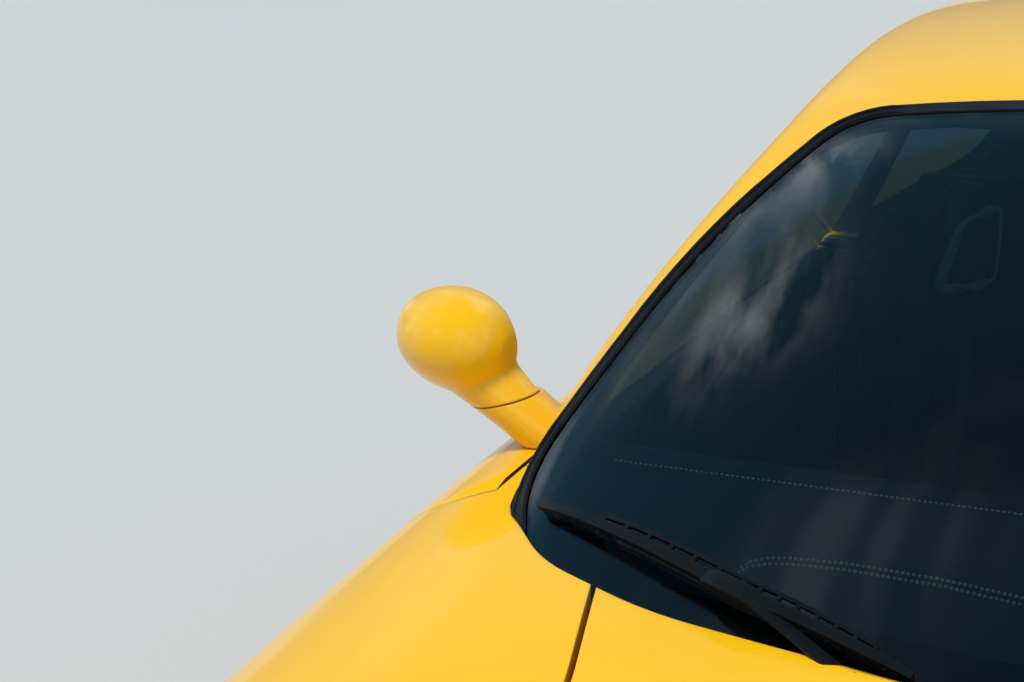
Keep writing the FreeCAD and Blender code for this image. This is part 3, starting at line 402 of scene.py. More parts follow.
def vary_colour(tree, shader, scale, colour, other):
    patches = add_node(tree, "Group", {"Scale": scale, "Low": 0.0, "High": 1.0}, node_tree=CLOUD)
    mix = add_node(tree, "Mix", {"A": (*colour, 1), "B": (*other, 1), "Factor": patches.outputs["Value"]},
                   data_type="RGBA")
    tree.links.new(mix.outputs["Result"], shader.inputs["Base Color"])


def bump_from(tree, shader, height, strength, distance=0.001, rounding=0.0):
    """Height as relief. rounding softens hard edges by that radius, in metres."""
    bump = add_node(tree, "Bump", {"Strength": strength, "Distance": distance, "Height": height})
    if rounding:
        edge = add_node(tree, "Bevel", {"Radius": rounding}, samples=4)
        tree.links.new(edge.outputs["Normal"], bump.inputs["Normal"])
    tree.links.new(bump.outputs["Normal"], shader.inputs["Normal"])


def clear_coat_yellow():
    material, tree, shader = principled(
        "yellow_clear_coat", YELLOW, Metallic=0.0, Coat_Weight=0.7, Coat_Roughness=0.03, Coat_IOR=1.4,
        Specular_IOR_Level=0.2)
    vary_colour(tree, shader, 3.0, YELLOW, YELLOW_DEEP)
    vary_roughness(tree, shader, 9.0, 0.30, 0.36)
    peel = noise_in(tree, 420.0, 1.0)
    bump_from(tree, shader, peel.outputs["Fac"], 0.012, 0.0004, rounding=0.003)
    return material


def pebbled(name, colour, other, scale, low, high, strength=0.3, rounding=0.0, **sockets):
    material, tree, shader = principled(name, colour, **sockets)
    vary_colour(tree, shader, 14.0, colour, other)
    vary_roughness(tree, shader, 22.0, low, high)
    grain = add_node(tree, "Group", {"Scale": scale}, node_tree=PEBBLE)
    bump_from(tree, shader, grain.outputs["Height"], strength, 0.0003, rounding)
    return material


def tinted_glass(name, colour, dust=0.02):
    material, tree, shader = principled(name, colour, IOR=1.5, Transmission_Weight=1.0)
    vary_roughness(tree, shader, 5.0, 0.0, dust)
    return material


def machined(name, colour, other, low, high, scale=120.0, strength=0.1, rounding=0.0,
             **sockets):
    material, tree, shader = principled(name, colour, Metallic=1.0, **sockets)
    vary_colour(tree, shader, 18.0, colour, other)
    vary_roughness(tree, shader, 30.0, low, high)
    grain = noise_in(tree, scale, 3.0)
    bump_from(tree, shader, grain.outputs["Fac"], strength, 0.0002, rounding)
    return material


def lamp_red():
    material, tree, shader = principled("lamp_red", (0.30, 0.003, 0.004), Coat_Weight=0.6,
                                        Coat_Roughness=0.03, Specular_IOR_Level=0.2)
    wave = add_node(tree, "TexWave", {"Scale": 34.0, "Vector": add_node(tree, "TexCoord").outputs["Object"]},
                    bands_direction="X")
    vary_roughness(tree, shader, 12.0, 0.10, 0.18)
    bump_from(tree, shader, wave.outputs["Fac"], 0.35, 0.002)
    return material


YELLOW = (0.93, 0.50, 0.006)
YELLOW_DEEP = (0.90, 0.47, 0.005)
PAINT = clear_coat_yellow()
SCREEN_GLASS = tinted_glass("screen_glass", (0.30, 0.44, 0.52))
SIDE_GLASS = tinted_glass("side_glass", (0.13, 0.18, 0.21))
REAR_GLASS = tinted_glass("rear_glass", (0.09, 0.13, 0.16))
LENS_GLASS = tinted_glass("lens_glass", (0.95, 0.97, 0.98), 0.01)
RUBBER = pebbled("seal_rubber", (0.006, 0.007, 0.009), (0.010, 0.011, 0.014), 1400.0, 0.45, 0.6, 0.12,
                 Specular_IOR_Level=0.22)
WIPER_BLACK = pebbled("wiper_black", (0.0035, 0.004, 0.005), (0.006, 0.0065, 0.008), 2400.0, 0.42, 0.55, 0.10,
                      Specular_IOR_Level=0.22)
GREY_CAP = pebbled("grey_cap", (0.16, 0.17, 0.19), (0.20, 0.21, 0.22), 2000.0, 0.3, 0.45, 0.1)
BLACK_GLOSS = pebbled("gloss_black", (0.006, 0.006, 0.007), (0.009, 0.009, 0.010), 600.0, 0.12, 0.2, 0.02)
SCREEN = pebbled("dark_display", (0.004, 0.005, 0.007), (0.006, 0.007, 0.009), 300.0, 0.08, 0.14, 0.02)
DIAL = pebbled("dial_face", (0.010, 0.010, 0.011), (0.015, 0.015, 0.016), 900.0, 0.5, 0.6, 0.1)
BRAKE_RED = pebbled("caliper_enamel", (0.30, 0.012, 0.010), (0.24, 0.012, 0.010), 500.0, 0.25, 0.4, 0.1,
                    Coat_Weight=0.5)
PLATE_WHITE = pebbled("blank_plate", (0.62, 0.63, 0.62), (0.58, 0.59, 0.58), 800.0, 0.35, 0.45, 0.05)
AMBER = pebbled("amber_lens", (0.62, 0.20, 0.01), (0.58, 0.18, 0.01), 240.0, 0.10, 0.16, 0.1, Coat_Weight=1.0)
TRIM = pebbled("moulded_trim", (0.016, 0.017, 0.019), (0.024, 0.025, 0.027), 1500.0, 0.45, 0.62, 0.3)
LEATHER = pebbled("black_leather", (0.020, 0.024, 0.026), (0.030, 0.034, 0.036), 1150.0, 0.38, 0.55, 0.35,
                  Sheen_Weight=0.12, Sheen_Roughness=0.4)
RING_GREY = pebbled("ring_grey", (0.42, 0.50, 0.48), (0.46, 0.54, 0.52), 1500.0, 0.35, 0.5, 0.15)
CARPET = pebbled("carpet", (0.018, 0.018, 0.020), (0.034, 0.033, 0.034), 420.0, 0.9, 1.0, 0.9,
                 Sheen_Weight=0.5)
LINING = pebbled("lining", (0.05, 0.05, 0.052), (0.06, 0.06, 0.062), 1900.0, 0.85, 0.95, 0.5)
THREAD = pebbled("lime_thread", (0.94, 1.0, 0.50), (0.98, 1.0, 0.60), 5200.0, 0.6, 0.8, 0.5)
DASH_LEATHER = pebbled("dash_leather", (0.050, 0.060, 0.064), (0.060, 0.070, 0.074), 1150.0, 0.5, 0.62, 0.14)
ALLOY = machined("silver_alloy", (0.56, 0.57, 0.59), (0.62, 0.63, 0.64), 0.26, 0.36, rounding=0.002,
                 Coat_Weight=0.4)
MIRROR = machined("mirror_glass", (0.84, 0.86, 0.88), (0.86, 0.88, 0.90), 0.01, 0.03, 60.0, 0.0)
REFLECTOR = machined("reflector", (0.80, 0.81, 0.82), (0.84, 0.84, 0.84), 0.08, 0.16, 60.0, 0.03)
IRON = machined("cast_iron", (0.13, 0.13, 0.135), (0.17, 0.15, 0.14), 0.45, 0.7, 240.0, 0.6)
DISC_STEEL = machined("disc_steel", (0.42, 0.42, 0.43), (0.50, 0.49, 0.48), 0.25, 0.42, 500.0, 0.2)
STEEL = machined("polished_steel", (0.55, 0.55, 0.55), (0.62, 0.61, 0.60), 0.12, 0.26, 90.0, 0.05)
LAMP_RED = lamp_red()


# Coachwork
CABIN_AXIS = 0.60
ALL_GLASS = ("windscreen", "rear_windows", "door_glass_right", "door_glass_left")
SKIN_DEPTH = 0.006


def hidden_inside(node, face):
    """True where a face of a body panel looks into the car or lies deeper than its outer skin."""
    out = Vector((face.center.x, 0, face.center.z - CABIN_AXIS)).normalized()
    if face.normal.dot(out) < 0.10:
        return True
    spot, _ = seen_along((node,) + ALL_GLASS, face.center + out * 1.5, -out)
    return spot is not None and (spot - face.center).dot(out) > SKIN_DEPTH


def coach_panel(node, inner=None, black_below=None):
    """The panel's CAD shape with a smooth skin. inner is the finish of its faces inside the car."""
    skin = merged_copy(node)
    if black_below:
        edit_all(skin)
        bpy.ops.mesh.bisect(plane_co=(0, 0, black_below), plane_no=(0, 0, 1))
        done()
    finish(skin, BODY_OF[node], PAINT, 28)
    skin.data.materials.append(TRIM)
    skin.data.materials.append(inner or TRIM)
    for face in skin.data.polygons:
        if black_below and face.center.z < black_below:
            face.material_index = 1
        elif inner and hidden_inside(node, face):
            face.material_index = 2
    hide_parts(node)
    return skin


for node in ("bonnet", "engine_lid", "wing_right", "wing_left"):
    coach_panel(node)
coach_panel("front_bumper", black_below=0.185)
TAIL = coach_panel("rear_bumper", black_below=0.295)
coach_panel("roof_frame", LINING)
for side, _ in SIDES:
    coach_panel(f"side_{side}", TRIM, black_below=0.185)
    coach_panel(f"door_{side}", LEATHER)


# Glass and its rubber
# Outline of the windscreen's rubber from above: x, distance behind the front axle, corner radius
SCREEN_OUTLINE = (
    (0, 0.362, 3.0), (0.495, 0.412, 0.40), (0.640, 0.470, 0.15), (0.716, 0.634, 0.15), (0.625, 0.905, 0.70),
    (0.508, 1.092, 0.09), (-0.508, 1.092, 0.09), (-0.625, 0.905, 0.70), (-0.716, 0.634, 0.15),
    (-0.640, 0.470, 0.15), (-0.495, 0.412, 0.40),
)


def rounded_outline(corners, margin, steps=7):
    """Points round an outline with arcs at its corners, margin inside it."""
    count = len(corners)
    points = []
    for i in range(count):
        here = Vector(corners[i][:2])
        before = (Vector(corners[i - 1][:2]) - here).normalized()
        after = (Vector(corners[(i + 1) % count][:2]) - here).normalized()
        half = before.angle(after) / 2
        bisector = (before + after).normalized()
        radius = corners[i][2]
        centre = here + bisector * (radius / math.sin(half))
        start = here + before * (radius / math.tan(half))
        end = here + after * (radius / math.tan(half))
        for k in range(steps):
            spot = start.lerp(end, k / (steps - 1))
            out = (spot - centre).normalized()
            points.append(centre + out * (radius - margin))
    return points


def on_screen(x, y, lift=0.0):
    """A point on the windscreen or its rubber, lifted along the glass's normal, with that normal."""
    spot, normal = from_above(("windscreen", "windscreen_seal"), x, y)
    if spot is None:
        return None, None
    return spot + normal * lift, normal


def wisp(x, y, tightness):
    """A thin cloud in the part of the dome that the windscreen mirrors at (x, y)."""
    spot, normal = from_above(("windscreen",), x, behind(y))
    view = (spot - CAMERA_PLACE).normalized()
    mirrored = view - normal * (2 * view.dot(normal))
    tree = bpy.context.scene.world.node_tree
    back = tree.nodes["Background"].inputs["Color"]
    before = back.links[0].from_socket
    direction = add_node(tree, "TexCoord").outputs["Generated"]
    dot = add_node(tree, "VectorMath", {0: direction, 1: mirrored}, operation="DOT_PRODUCT")
    towards = add_node(tree, "Math", {0: dot.outputs["Value"], 1: 0.0}, operation="MAXIMUM")
    power = add_node(tree, "Math", {0: towards.outputs[0], 1: tightness}, operation="POWER")
    stretch = add_node(tree, "Mapping", {"Scale": WISP_STRETCH, "Vector": direction})
    noise = add_node(tree, "TexNoise", {"Scale": 1.0, "Detail": 6.0, "Roughness": 0.6,
                                        "Vector": stretch.outputs["Vector"]})
    ragged = add_node(tree, "MapRange", {"From Min": 0.42, "From Max": 0.68, "Value": noise.outputs["Fac"]})
    strength = add_node(tree, "Math", {0: power.outputs[0], 1: ragged.outputs["Result"]},
                        operation="MULTIPLY")
    total = add_node(tree, "Mix", {"B": (WISP_LIGHT, WISP_LIGHT, WISP_LIGHT, 1), "A": before,
                                   "Factor": strength.outputs[0]}, data_type="RGBA")
    tree.links.new(total.outputs["Result"], back)


def screen_bead(name, margin, radius, lift):
    line = []
    for point in rounded_outline(SCREEN_OUTLINE, margin):
        spot, _ = on_screen(point.x, behind(point.y), lift)
        if spot is not None:
            line.append(spot)
    bead = tube(name, line, radius, closed=True, smooth_line=False, sides=2)
    finish(bead, "root", RUBBER, 60)


BAND_DEPTH = 0.0070


def screen_band():
    """The black band printed round the glass, widest along the foot where the wipers lie."""
    outer, inner = [], []
    edge = rounded_outline(SCREEN_OUTLINE, 0.010)
    wide, narrow = rounded_outline(SCREEN_OUTLINE, 0.092), rounded_outline(SCREEN_OUTLINE, 0.024)
    for rim, deep, shallow in zip(edge, wide, narrow):
        share = min(max((0.660 - rim.y) / 0.16, 0.0), 1.0)
        reach = shallow.lerp(deep, share * share * (3 - 2 * share))
        here, _ = on_screen(rim.x, behind(rim.y), -BAND_DEPTH)
        there, _ = on_screen(reach.x, behind(reach.y), -BAND_DEPTH)
        if here is not None and there is not None:
            outer.append(here)
            inner.append(there)
    count = len(outer)
    mesh = bpy.data.meshes.new("screen_band")
    mesh.from_pydata([tuple(p) for p in outer + inner], [],
                     [(k, (k + 1) % count, count + (k + 1) % count, count + k) for k in range(count)])
    finish(placed("screen_band", mesh), "root", BLACK_GLOSS, 60)


screen_band()
wisp(-0.535, 1.010, 420.0)
wisp(-0.515, 0.790, 520.0)
dress("windscreen", SCREEN_GLASS)
dress("windscreen_seal", RUBBER)
dress("rear_windows", REAR_GLASS)
screen_bead("screen_outer_lip", 0.0035, 0.0024, 0.0002)
screen_bead("screen_inner_lip", 0.0140, 0.0022, 0.0002)
for side, _ in SIDES:
    dress(f"door_glass_{side}", SIDE_GLASS)


# Wipers
# Each a place of x and distance behind the front axle: the blade's tip, the arm's hook on the blade, the
# blade's end, the arm at the bonnet's edge and the arm's end under it
WIPERS = (
    ("right", (-0.6525, 0.584), (-0.403, 0.490), (-0.222, 0.442), (-0.290, 0.438), (-0.222, 0.404)),
    ("left", (-0.040, 0.452), (0.215, 0.470), (0.470, 0.494), (0.330, 0.441), (0.406, 0.417)),
)


def bar(name, stations):
    """A four-sided bar drawn out from station to station. A station is (centre, width, height, up)."""
    nothing_selected()
    bpy.ops.mesh.primitive_plane_add(size=1.0)
    piece = bpy.context.object
    piece.name = name
    spots = [Vector(s[0]) for s in stations]
    edit_all(piece)
    for i, (_, width, height, rise) in enumerate(stations):
        if i:
            bpy.ops.mesh.extrude_region()
        run = (spots[min(i + 1, len(spots) - 1)] - spots[max(i - 1, 0)]).normalized()
        across = run.cross(Vector(rise)).normalized()
        over = across.cross(run)
        shape = bmesh.from_edit_mesh(piece.data)
        corners = [v for v in shape.verts if v.select]
        if i == 0:
            places = {v: (1 if v.co.x > 0 else -1, 1 if v.co.y > 0 else -1) for v in corners}
        else:
            places = {v: keys[tuple(round(c, 6) for c in v.co)] for v in corners}
        keys = {}
        for v, (a, b) in places.items():
            v.co = spots[i] + across * (a * width / 2) + over * (b * height / 2)
            keys[tuple(round(c, 6) for c in v.co)] = (a, b)
        bmesh.update_edit_mesh(piece.data)
    done_outwards()
    return piece


ROUTE_STEPS = 9


def along(*marks):
    """Even steps through the marks, as (x, y) in the car's frame."""
    line = []
    for start, end in zip(marks, marks[1:]):
        for k in range(ROUTE_STEPS):
            share = k / ROUTE_STEPS
            x = start[0] + share * (end[0] - start[0])
            y = start[1] + share * (end[1] - start[1])
            line.append((x, behind(y)))
    line.append((marks[-1][0], behind(marks[-1][1])))
    return line


def wiper(side, tip, hook, end, edge, under):
    line = [on_screen(x, y) for x, y in along(tip, hook, end)]
    line = [(spot, normal) for spot, normal in line if spot is not None]
    count = len(line) - 1
    # the blade has as many steps before the arm's hook as after it
    hook_at = 0.5
    rubber, frame_bar, rail, skirt, pieces = [], [], [], [], []
    for i, (spot, normal) in enumerate(line):
        share = i / count
        arch = math.sin(math.pi * min(share / hook_at, 1) / 2) if share < hook_at else \
            math.cos(math.pi * (share - hook_at) / (1 - hook_at) / 2)
        top = 0.0105 + 0.0185 * arch ** 0.8
        rubber.append((spot + normal * 0.0042, 0.0050, 0.0084, normal))
        frame_bar.append((spot + normal * top, 0.0085 + 0.0045 * arch, 0.0062 + 0.002 * arch, normal))
        run = (line[min(i + 1, count)][0] - line[max(i - 1, 0)][0]).normalized()
        up_screen = normal.cross(run)
        if up_screen.y < 0:
            up_screen = -up_screen
        if 0.12 < share < 0.90:
            away = 0.0065 + 0.0095 * arch
            rail.append((spot + normal * (top - 0.002) + up_screen * away, 0.0046, 0.0048, normal))
            pieces.append(bar("wiper_rung", [(spot + normal * (top - 0.001), 0.0052, 0.0042, normal),
                                             (rail[-1][0], 0.0052, 0.0042, normal)]))
        if 0.22 < share < 0.62:
            skirt.append((spot + normal * (top - 0.009) - up_screen * 0.006, 0.0060, 0.0130, normal))
    pieces += [bar("wiper_rubber", rubber), bar("wiper_frame", frame_bar), bar("wiper_rail", rail),
               bar("wiper_skirt", skirt)]
    for share in (0.05, 0.15, 0.25, 0.36, 0.46, 0.56, 0.67, 0.78, 0.94):
        spot, normal = line[round(share * count)]
        ahead = (line[min(round(share * count) + 1, count)][0] - spot).normalized() \
            if share < 0.9 else (spot - line[round(share * count) - 1][0]).normalized()
        height = frame_bar[round(share * count)][0] - spot
        stations = [(spot + normal * 0.006 - ahead * 0.008, 0.0095, 0.006, normal),
                    (spot + normal * (0.3 * height.length + 0.004), 0.0095, 0.55 * height.length, normal),
                    (spot + normal * 0.006 + ahead * 0.008, 0.0095, 0.006, normal)]
        pieces.append(bar("wiper_claw", stations))
    blade = joined(f"wiper_blade_{side}", pieces)
    round_edges(blade, 0.0009, 2)
    finish(blade, "root", WIPER_BLACK, 40)
    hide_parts("wipers")
    hook_spot, hook_normal = line[round(hook_at * count)]
    stations = []
    route = along(hook, edge, under)
    for k, (x, y) in enumerate(route):
        spot, normal = on_screen(x, y)
        if spot is None:
            continue
        share = k / (len(route) - 1)
        lift = 0.0345 - 0.026 * min(share / 0.55, 1) ** 1.2
        width = 0.0105 + 0.006 * share
        stations.append((spot + normal * lift, width, 0.0065, normal))
    arm = bar("wiper_arm", stations)
    clip_run = (line[round(hook_at * count) + 2][0] - line[round(hook_at * count) - 2][0]).normalized()
    clip = bar("wiper_clip", [
        (hook_spot + hook_normal * 0.027 - clip_run * 0.036, 0.0150, 0.0120, hook_normal),
        (hook_spot + hook_normal * 0.030 - clip_run * 0.016, 0.0185, 0.0180, hook_normal),
        (hook_spot + hook_normal * 0.030 + clip_run * 0.016, 0.0185, 0.0180, hook_normal),
        (hook_spot + hook_normal * 0.026 + clip_run * 0.038, 0.0140, 0.0110, hook_normal)])
    cap_at = len(stations) * 2 // 3
    cap_spot, cap_width, _, cap_normal = stations[cap_at]
    cap_run = (stations[cap_at + 1][0] - cap_spot).normalized()
    cap = bar(f"wiper_cap_{side}", [
        (cap_spot + cap_run * at + cap_normal * 0.003, cap_width + 0.003, tall, cap_normal)
        for at, tall in ((-0.016, 0.006), (-0.010, 0.0095), (0.010, 0.0095), (0.016, 0.006))])
    round_edges(cap, 0.0015, 2)
    finish(cap, "root", GREY_CAP, 40)
    arm = joined(f"wiper_arm_{side}", [arm, clip])
    round_edges(arm, 0.0012, 2)
    finish(arm, "root", WIPER_BLACK, 40)
    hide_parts("wipers")


for values in WIPERS:
    wiper(*values)


# Door mirrors
FOLD_PLACE, FOLD_AXIS = Vector((0.794, behind(0.784), 0.942)), Vector((0.2113, 0, 0.9774))
FOLD_LINE = 0.0008


def half_kept(piece, name, place, axis, keep_above):
    """The part of a closed piece on one side of a plane, closed again."""
    part = placed(name, piece.data.copy())
    edit_all(part)
    bpy.ops.mesh.bisect(plane_co=place, plane_no=axis, use_fill=True,
                        clear_inner=keep_above, clear_outer=not keep_above)
    done()
    return part


def curved(share):
    """Squares off a circle a little."""
    return math.copysign(abs(share) ** 0.62, share)


def outline_plate(name, corners, thickness):
    """A flat plate from its outline, thickness being a vector."""
    mesh = bpy.data.meshes.new(name)
    mesh.from_pydata([tuple(c) for c in corners], [], [list(range(len(corners)))])
    plate = placed(name, mesh)
    edit_all(plate)
    bpy.ops.mesh.extrude_region_move(TRANSFORM_OT_translate={"value": tuple(thickness)})
    done_outwards()
    return plate


def soft_oval(middle, across, over, count):
    """Points round an oval with squared-off ends, from its half axes as vectors."""
    turns = (k * math.tau / count for k in range(count))
    return [middle + across * curved(math.cos(turn)) + over * curved(math.sin(turn)) for turn in turns]


def door_mirror(side, sx):
    whole = joined(f"mirror_{side}", [merged_copy(f"mirror_head_{side}"), merged_copy(f"mirror_foot_{side}")])
    apply_modifier(whole, "REMESH", mode="VOXEL", voxel_size=0.0024)
    apply_modifier(whole, "SMOOTH", factor=0.5, iterations=22)
    place = Vector((sx * FOLD_PLACE.x, FOLD_PLACE.y, FOLD_PLACE.z))
    axis = Vector((sx * FOLD_AXIS.x, 0, FOLD_AXIS.z))
    head = half_kept(whole, f"mirror_shell_{side}", place + axis * FOLD_LINE, axis, True)
    foot = half_kept(whole, f"mirror_arm_{side}", place - axis * FOLD_LINE, axis, False)
    bpy.data.objects.remove(whole)
    finish(head, f"mirror_body_{side}", PAINT, 50)
    finish(foot, f"door_body_{side}", PAINT, 50)
    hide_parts(f"mirror_head_{side}")
    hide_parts(f"mirror_foot_{side}")
    spot, normal = seen_along((f"mirror_head_{side}",), (sx * 0.864, behind(1.2), 0.999), (0, -1, 0))
    across = normal.cross(Vector((0, 0, 1))).normalized()
    over = across.cross(normal)
    corners = soft_oval(spot + normal * 0.0018, across * 0.057, over * 0.037, 48)
    plate = outline_plate(f"mirror_glass_{side}", corners, normal * 0.002)
    finish(plate, f"mirror_body_{side}", MIRROR, 30)


for side, sx in SIDES:
    door_mirror(side, sx)


# Wheels
# place along the car, place across it, tyre radius, tyre width
WHEELS = {
    "front": (AXLE, 0.750, 0.323, 0.235), "rear": (AXLE + 2.350, 0.7475, 0.333, 0.285),
}
RIM_RADIUS = 0.241
CALIPER_LEAN = {"front": 20, "rear": 160}
# how far the hub's face lies inside the tyre's outer side, and the disc's middle outside the wheel's centre
FACE_DEPTH, DISC_PLACE = 0.050, -0.030
# half the vented disc's section: radius, place beside its middle
DISC = (
    (0.080, 0.0142), (0.084, 0.0152), (0.160, 0.0152), (0.1652, 0.0148), (0.1656, 0.006), (0.160, 0.0045),
    (0.160, -0.0045), (0.1656, -0.006), (0.1652, -0.0148), (0.160, -0.0152), (0.060, -0.0152),
)


def tyre_profile(radius, width):
    """From the inner bead over the tread to the outer bead, with four grooves round the tread."""
    half = width / 2
    shoulder = half - 0.022
    points = [(RIM_RADIUS + 0.002, -half + 0.020), (RIM_RADIUS + 0.012, -half + 0.007),
              (RIM_RADIUS + 0.030, -half + 0.001), (RIM_RADIUS + 0.046, -half + 0.0003),
              (radius - 0.024, -half + 0.003), (radius - 0.010, -half + 0.010), (radius - 0.002, -shoulder)]
    for groove in (-0.62, -0.22, 0.22, 0.62):
        at = groove * shoulder
        points += [(radius - 0.0006, at - 0.0055), (radius - 0.0075, at - 0.0042),
                   (radius - 0.0075, at + 0.0042), (radius - 0.0006, at + 0.0055)]
    other = [(r, -a) for r, a in reversed(points[:7])]
    return points + other


def tread_rubber(name, centre, radius):
    """Rubber with cuts across the tread and fine rings on the sidewall, laid out round the wheel's centre."""
    material, tree, shader = principled(name, (0.018, 0.018, 0.018))
    vary_colour(tree, shader, 14.0, (0.018, 0.018, 0.018), (0.032, 0.031, 0.029))
    vary_roughness(tree, shader, 22.0, 0.6, 0.85)
    shift = add_node(tree, "Mapping", {"Location": -centre,
                                       "Vector": add_node(tree, "TexCoord").outputs["Object"]})

    def step(operation, *values):
        return add_node(tree, "Math", dict(enumerate(values)), operation=operation).outputs[0]

    across, y, z = add_node(tree, "SeparateXYZ", {0: shift.outputs["Vector"]}).outputs
    away = step("SQRT", step("ADD", step("MULTIPLY", y, y), step("MULTIPLY", z, z)))
    turn = step("MULTIPLY", step("ARCTAN2", z, y), TREAD_CUTS / math.tau)
    slant = step("ADD", turn, step("MULTIPLY", step("ABSOLUTE", across), 9.0))
    cut = step("LESS_THAN", step("FRACT", slant), 0.14)
    on_tread = step("GREATER_THAN", away, radius - 0.012)
    ring = step("MULTIPLY", step("SINE", step("MULTIPLY", away, 1250.0)), 0.12)
    on_wall = step("LESS_THAN", away, radius - 0.018)
    height = step("SUBTRACT", step("MULTIPLY", ring, on_wall), step("MULTIPLY", cut, on_tread))
    bump_from(tree, shader, height, 0.9, 0.003)
    return material


TREAD_CUTS = 70.0


def wheel(end, side, sx):
    y, x, radius, width = WHEELS[end]
    centre = Vector((sx * x, y, radius))
    axis = Vector((sx, 0, 0))
    body = f"wheel_{end}_{side}"
    tyre = spun(f"tyre_tread_{end}_{side}", tyre_profile(radius, width), centre, axis, 96)
    finish(tyre, body, tread_rubber(f"tread_rubber_{end}_{side}", centre, radius), 28)
    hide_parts(f"tyre_{end}_{side}")
    rim = merged_copy(f"rim_{end}_{side}")
    finish(rim, body, ALLOY, 30)
    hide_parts(f"rim_{end}_{side}")
    face = width / 2 - FACE_DEPTH
    cap = spun("cap", [(0.0, 0.012), (0.018, 0.0115), (0.027, 0.009), (0.030, 0.004), (0.030, -0.004)],
               centre + axis * face, axis, 40)
    bolts = []
    for k in range(5):
        turn = math.tau * (k + 0.5) / 5
        spot = centre + axis * face + Vector((0, math.cos(turn), math.sin(turn))) * 0.050
        bolts.append(drum("bolt", spot - axis * 0.006, spot + axis * 0.007, 0.0095, 6, 0.9))
    hardware = joined(f"wheel_bolts_{end}_{side}", [cap] + bolts)
    round_edges(hardware, 0.001, 2)
    finish(hardware, body, STEEL)
    disc = spun(f"brake_disc_{end}_{side}", [(out, DISC_PLACE + at) for out, at in DISC], centre, axis, 72)
    finish(disc, body, DISC_STEEL)
    stations = []
    lean = CALIPER_LEAN[end]
    for k in range(9):
        turn = math.radians(lean + 68 * (k / 8 - 0.5))
        out = Vector((0, math.cos(turn), math.sin(turn)))
        stations.append((centre + axis * DISC_PLACE + out * 0.136, 0.062, 0.058, out))
    caliper = bar(f"caliper_{end}_{side}", stations)
    round_edges(caliper, 0.006, 3)
    finish(caliper, BODY_OF[f"knuckle_{side}"] if end == "front" else "root", BRAKE_RED, 40)


for end in WHEELS:
    for side, sx in SIDES:
        wheel(end, side, sx)
for node in ("knuckle_right", "knuckle_left", "suspension"):
    dress(node, IRON)


# Lamps
dress("headlamp_lenses", LENS_GLASS)
dress("headlamp_bowls", REFLECTOR)
dress("tail_lamps", LAMP_RED)
LAMP_PLACE = Vector((0.590, behind(-0.640), 0.620))
LAMP_AXIS = Vector((0.22, -0.72, 0.66)).normalized()


def headlamp(side, sx):
    place = Vector((sx * LAMP_PLACE.x, LAMP_PLACE.y, LAMP_PLACE.z))
    axis = Vector((sx * LAMP_AXIS.x, LAMP_AXIS.y, LAMP_AXIS.z))
    dish = spun(f"headlamp_bezel_{side}", [
        (0.1005, -0.030), (0.098, -0.026), (0.088, -0.040), (0.076, -0.052), (0.048, -0.060), (0.044, -0.052),
        (0.040, -0.052), (0.036, -0.070), (0.0, -0.085)], place, axis, 56)
    finish(dish, "root", REFLECTOR, 50)
    eye = spun(f"headlamp_eye_{side}", [(0.0, -0.036), (0.014, -0.038), (0.026, -0.044), (0.035, -0.056),
                                        (0.0355, -0.066)], place, axis, 48)
    finish(eye, "root", LENS_GLASS, 60)


for side, sx in SIDES:
    headlamp(side, sx)


# Small things outside
# Openings in the front bumper: name, x from, x to, z from, z to
MOUTHS = (("middle", -0.330, 0.330, 0.190, 0.300), ("right", -0.690, -0.390, 0.205, 0.330),
          ("left", 0.390, 0.690, 0.205, 0.330))


def bumper_face(x, z, low, high):
    """Where the bumper's skin would run across its opening, between the skin below it and above it."""
    below, above = (seen_along(("front_bumper",), (x, AHEAD, level), (0, 1, 0))[0].y
                    for level in (low - 0.012, high + 0.012))
    return below + (z - low) / (high - low) * (above - below)


def mouth_mesh(name, low_x, high_x, low_z, high_z):
    """A wire mesh in the opening, and a dark flat cooler plate behind it."""
    columns, rows = round((high_x - low_x) / 0.0135), round((high_z - low_z) / 0.0125)
    for part, depth, material, modifier, thickness in (("mesh", 0.030, TRIM, "WIREFRAME", 0.0036),
                                                       ("cooler", 0.062, IRON, "SOLIDIFY", 0.004)):
        nothing_selected()
        bpy.ops.mesh.primitive_grid_add(x_subdivisions=columns, y_subdivisions=rows, size=1.0)
        piece = bpy.context.object
        piece.name = f"front_{part}_{name}"
        for vertex in piece.data.vertices:
            x = low_x + (vertex.co.x + 0.5) * (high_x - low_x)
            z = low_z + (vertex.co.y + 0.5) * (high_z - low_z)
            y = bumper_face(x, z, low_z, high_z)
            vertex.co = (x, y + depth, z)
        apply_modifier(piece, modifier, thickness=thickness)
        finish(piece, "root", material, 30)


for values in MOUTHS:
    mouth_mesh(*values)


def surface_strip(name, nodes, spots, run, width, height, lift, body, material,
                  taper=False):
    """A moulding laid along spots on a surface, found by looking at it along run."""
    stations = []
    for k, start in enumerate(spots):
        spot, normal = seen_along(nodes, start, run)
        if spot is None:
            continue
        end_share = min(k, len(spots) - 1 - k) / max(len(spots) - 1, 1)
        shrink = min(1.0, 0.45 + 5 * end_share) if taper else 1.0
        stations.append((spot + normal * lift, width * shrink, height, normal))
    strip = bar(name, stations)
    round_edges(strip, min(width, height) * 0.28, 2)
    finish(strip, body, material, 40)


def spread(start, end, count):
    return [Vector(start).lerp(Vector(end), k / (count - 1)) for k in range(count)]


HANDLE_HEIGHT = 0.742


